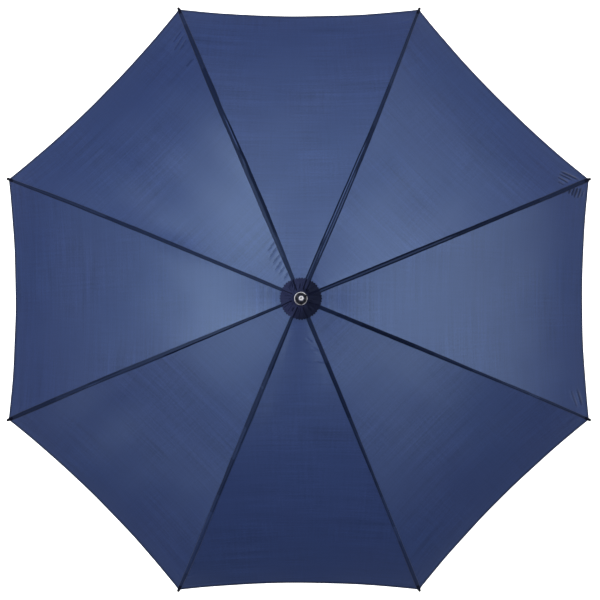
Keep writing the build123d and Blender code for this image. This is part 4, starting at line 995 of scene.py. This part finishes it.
def rosette_part(name, az0, az1, r0, r1_of, body, lift=0.0):
    n_az = max(int((az1 - az0) / math.radians(0.75)) + 1, 8)
    az = np.linspace(az0, az1, n_az)
    sh = np.linspace(0, 1, 36) ** 0.92
    edge = r1_of(az)
    r = r0 + (edge[None] - r0) * sh[:, None]
    A = np.broadcast_to(az[None], r.shape)
    z = crown_height(r, np.mod(A, 2 * math.pi)) + lift
    top = np.stack([r * np.cos(A), r * np.sin(A), z], -1) * MM
    under = top.copy()
    under[..., 2] -= 0.34 * MM
    up = grid_normals(top)
    if up[5, 3, 2] < 0:
        up = -up
    uv = np.stack([r * np.cos(A), r * np.sin(A)], -1) * MM
    verts, faces, normals, uvs = cloth_solid(top, under, up, uv)
    # painted shade: the cloth is painted darker in its deep creases, beside its raised folds and along the lines it is
    # sewn down by
    rc, ac = 0.5 * (r[1:, 1:] + r[:-1, :-1]), 0.5 * (A[1:, 1:] + A[:-1, :-1])
    deep = np.zeros(rc.shape)

    def shade(r0, a0, r1, a1, half, amount, inner, outer):
        t = (rc - r0) / (r1 - r0)
        d = ((ac - np.radians(a0 + (a1 - a0) * t) + math.pi) % (2 * math.pi) - math.pi) * rc
        ends = np.clip((rc - inner) / 2.0, 0, 1) * np.clip((outer - rc) / 2.0, 0, 1)
        np.maximum(deep, amount * ends * np.exp(-((d / half) ** 4)), out=deep)

    for lines in PATCH_LINES.values():
        for a0, a1, half in lines:
            shade(31.0, a0, 15.0, a1, half, 1.0, 13.0, 40.0)
    for r0, a0, r1, a1, height, width in PATCH_FOLDS:
        if height < 0:
            shade(r0, a0, r1, a1, 0.9 * width, 1.0, min(r0, r1) - 1, max(r0, r1) + 1)
        else:
            off = math.degrees(2.0 * width / (0.5 * (r0 + r1)))
            shade(r0, a0 - off, r1, a1 - off, 0.75 * width, min(height, 0.7), min(r0, r1) - 1, max(r0, r1) + 1)
    slots = np.zeros(sum(len(f) for f in faces), np.int32)
    slots[:deep.size] = np.digitize(deep.ravel(), [0.3, 0.62])
    ob = add_mesh(name, verts, faces, [M_ROSETTE, M_PATCH_CREASE_SHADE, M_PATCH_DEEP_SHADE], slots, None, uvs)
    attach(ob, body)
    return ob


def rosette_edge(az):
    az = np.asarray(az)
    shape = 1 + 0.010 * np.cos(8 * az) + 0.008 * np.sin(3 * az + 0.6) + 0.006 * np.sin(5 * az + 2.0)
    pinked = 1.7 * (2 * np.abs((az * 46 / (2 * math.pi)) % 1.0 - 0.5) - 0.5)
    return ROS_R * shape + pinked


disc = rosette_part("rosette_centre", 0.0, 2 * math.pi, 5.9, lambda a: np.full(np.shape(a), 13.6), "frame", 0.40)
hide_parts("rosette")
for k in RIBS:
    a = azimuth(k)
    leaf = rosette_part(f"rosette_leaf_{k}", a - HALF, a + HALF, 11.6, rosette_edge, f"rib_arm_{k}")
    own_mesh(leaf)
    # stitches that hold the patch down along the seam
    b = Build()
    for a0, a1, _ in PATCH_LINES[k]:
        rr = np.arange(14.6, 31.2, 1.75)
        def on_patch(rr):
            aa = np.radians(a0 + (a1 - a0) * (rr - 31.0) / (15.0 - 31.0))
            z = crown_height(rr, np.mod(aa, 2 * math.pi)) + 0.05
            return np.stack([rr * np.cos(aa), rr * np.sin(aa), z], -1) * MM
        at = on_patch(rr)
        along = unit(on_patch(rr + 0.5) - at)
        out = unit(np.array([0.0, 0.0, 1.0]) - along * along[:, 2:3])
        stitches(b, at, along, out, 1.6 * MM, rng.uniform(0.95, 1.25, len(rr)) * MM, 0.30 * MM, 0)
    tacking = b.make(f"rosette_stitches_{k}", [M_THREAD_DARK])
    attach(tacking, f"rib_arm_{k}")

# ---------------------------------------------------------------- crown ring and ferrule end
def turned(name, profile, material, body, segments=72, closed=True, shake=None):
    """A turned piece: profile of (r, z) in mm, revolved about the shaft. Points at r = 0 close it."""
    prof = np.asarray(profile, float)
    a = np.linspace(0, 2 * math.pi, segments + 1)[:-1]
    on_axis = [i for i, (r, _) in enumerate(prof) if r < 1e-6]
    ring_ids, verts, faces3, faces4, count = {}, [], [], [], 0
    for i, (r, z) in enumerate(prof):
        if i in on_axis:
            verts.append([[0, 0, z]])
            ring_ids[i] = np.array([count])
            count += 1
        else:
            verts.append(np.stack([r * np.cos(a), r * np.sin(a), np.full(segments, z)], -1))
            ring_ids[i] = count + np.arange(segments)
            count += segments
    pairs = [(i, i + 1) for i in range(len(prof) - 1)]
    if closed and not on_axis:
        pairs.append((len(prof) - 1, 0))
    for i, j in pairs:
        p, q = ring_ids[i], ring_ids[j]
        if len(p) == 1 and len(q) == 1:
            continue
        if len(p) == 1:
            faces3.append(np.stack([np.full(segments, p[0]), np.roll(q, -1), q], -1))
        elif len(q) == 1:
            faces3.append(np.stack([np.full(segments, q[0]), p, np.roll(p, -1)], -1))
        else:
            faces4.append(np.stack([p, np.roll(p, -1), np.roll(q, -1), q], -1))
    v = np.concatenate([np.asarray(x, float).reshape(-1, 3) for x in verts]) * MM
    faces = ([np.concatenate(faces4)] if faces4 else []) + ([np.concatenate(faces3)] if faces3 else [])
    # outwards: the signed volume has to be positive
    vol = 0.0
    for f in faces:
        for t in ([f[:, [0, 1, 2]], f[:, [0, 2, 3]]] if f.shape[1] == 4 else [f]):
            A, B, C = v[t[:, 0]], v[t[:, 1]], v[t[:, 2]]
            vol += float((A * np.cross(B, C)).sum())
    if vol < 0:
        faces = [f[:, ::-1] for f in faces]
    ob = add_mesh(name, v, faces, [material])
    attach(ob, body)
    return ob


def rounded(points, steps=5):
    """A profile's corners rounded: points are (r, z, radius)."""
    out = []
    n = len(points)
    for i, (r, z, rad) in enumerate(points):
        if rad <= 0 or i in (0, n - 1):
            out.append((r, z))
            continue
        p, a0, a1 = np.array((r, z)), np.array(points[i - 1][:2]), np.array(points[i + 1][:2])
        u, w = (a0 - p), (a1 - p)
        lu, lw = np.linalg.norm(u), np.linalg.norm(w)
        d = min(rad, 0.45 * lu, 0.45 * lw)
        s0, s1 = p + u / lu * d, p + w / lw * d
        for t in np.linspace(0, 1, steps):
            out.append(tuple((1 - t) ** 2 * s0 + 2 * t * (1 - t) * p + t * t * s1))
    return out


ang = np.linspace(0, 2 * math.pi, 21)[:-1]
ring = turned("crown_ring", [(9.50 + 0.86 * math.cos(t) * (abs(math.cos(t)) ** 0.15 if abs(math.cos(t)) > 1e-9 else 0), 699.55 + 0.95 * math.sin(t)) for t in ang], M_BRIGHT, "frame", 96)
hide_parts("top_cup")
washer = turned("crown_washer", rounded([(5.02, 695.9, 0), (10.3, 695.9, 0.3), (10.75, 696.6, 0.3), (10.6, 698.75, 0.4), (8.7, 698.95, 0.3), (8.3, 697.9, 0.3), (5.02, 697.7, 0)]), M_FERRULE, "frame", 96)
end = turned("ferrule_end", rounded([
    (0, 742.0, 0), (2.2, 742.0, 0.2), (2.5, 742.4, 0.2), (2.5, 752.02, 0), (4.35, 752.02, 0.15), (4.68, 752.5, 0.2), (4.68, 754.4, 0.15), (4.45, 754.7, 0.1), (4.45, 755.1, 0.1), (4.66, 755.4, 0.15),
    (4.55, 762.5, 0.5), (4.12, 767.4, 1.3), (3.0, 768.95, 0.9), (2.15, 768.93, 0.4), (1.72, 768.3, 0.2), (1.62, 765.2, 0.1), (0, 765.0, 0)]), M_TIP, "frame", 72)
plug = turned("ferrule_plug", rounded([(0, 765.0, 0), (1.58, 765.0, 0.1), (1.58, 767.4, 0.3), (0.6, 767.9, 0.3), (0, 767.95, 0)]), M_PIT_SHADE, "frame", 36)
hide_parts("ferrule_tip")

# ---------------------------------------------------------------- tie strap
b = Build()
x = np.linspace(330.0, 460.0, 60)
cols = np.linspace(-1, 1, 9)
lows, highs = [], []
for c in cols:
    y = 12.0 + 7.0 * c * np.where(np.abs(x - 395) > 62.5, np.sqrt(np.clip(1 - ((np.abs(x - 395) - 62.5) / 2.6) ** 2, 0.15, 1)), 1.0)
    rho = x + np.abs(y) * TAN_H
    off_high = CLOTH_UNDER - 0.75
    s = arc_s(rho, off_high)
    t = y / (rho * SIN_H * COS_H)
    hi = surface(1, 1, s, t, off_high - 0.05 * np.cos(x / 9.0), folds=False)
    lo = surface(1, 1, s, t, off_high - 0.85 - 0.10 * (1 - c * c) - 0.05 * np.cos(x / 9.0), folds=False)
    hi[..., 0], lo[..., 0] = x, x
    hi[..., 1], lo[..., 1] = y, y
    highs.append(hi)
    lows.append(lo)
strap_top, strap_low = to_world(np.stack(highs, 1), 1), to_world(np.stack(lows, 1), 1)
up = grid_normals(strap_top)
if up[5, 3, 2] < 0:
    up = -up
uv = np.stack([np.broadcast_to(cols[None] * 7 * MM, strap_top.shape[:2]), np.broadcast_to(x[:, None] * MM, strap_top.shape[:2])], -1)
verts, faces, normals, uvs = cloth_solid(strap_top, strap_low, up, uv)
b.put(verts, faces, 0, uvs)
strap = b.make("tie_strap_webbing", [M_STRAP])
b = Build()
for c_edge in (-0.8, 0.8):
    xs = np.arange(333, 458, 2.6)
    ys = 12.0 + 7.0 * c_edge + 0 * xs
    rho = xs + np.abs(ys) * TAN_H
    s = arc_s(rho, CLOTH_UNDER)
    base = surface(1, 1, s, ys / (rho * SIN_H * COS_H), CLOTH_UNDER - 1.66, folds=False)
    base[..., 0], base[..., 1] = xs, ys
    at = to_world(base, 1)
    along = unit(np.gradient(at, axis=0))
    slope = SLOPE0 + s / ARC_R
    out = -turn(np.stack([np.sin(slope) * COS_H, np.sin(slope) * SIN_H, np.cos(slope)], -1), 1)
    out = unit(out - (out * along).sum(-1, keepdims=True) * along)
    stitches(b, at, along, out, 1.9 * MM, 0.5 * MM, 0.25 * MM, 0)
strap_thread = b.make("tie_strap_stitching", [M_THREAD])
for piece in (strap, strap_thread):
    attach(piece, "rib_arm_1")
    gather(piece)
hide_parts("tie_strap")
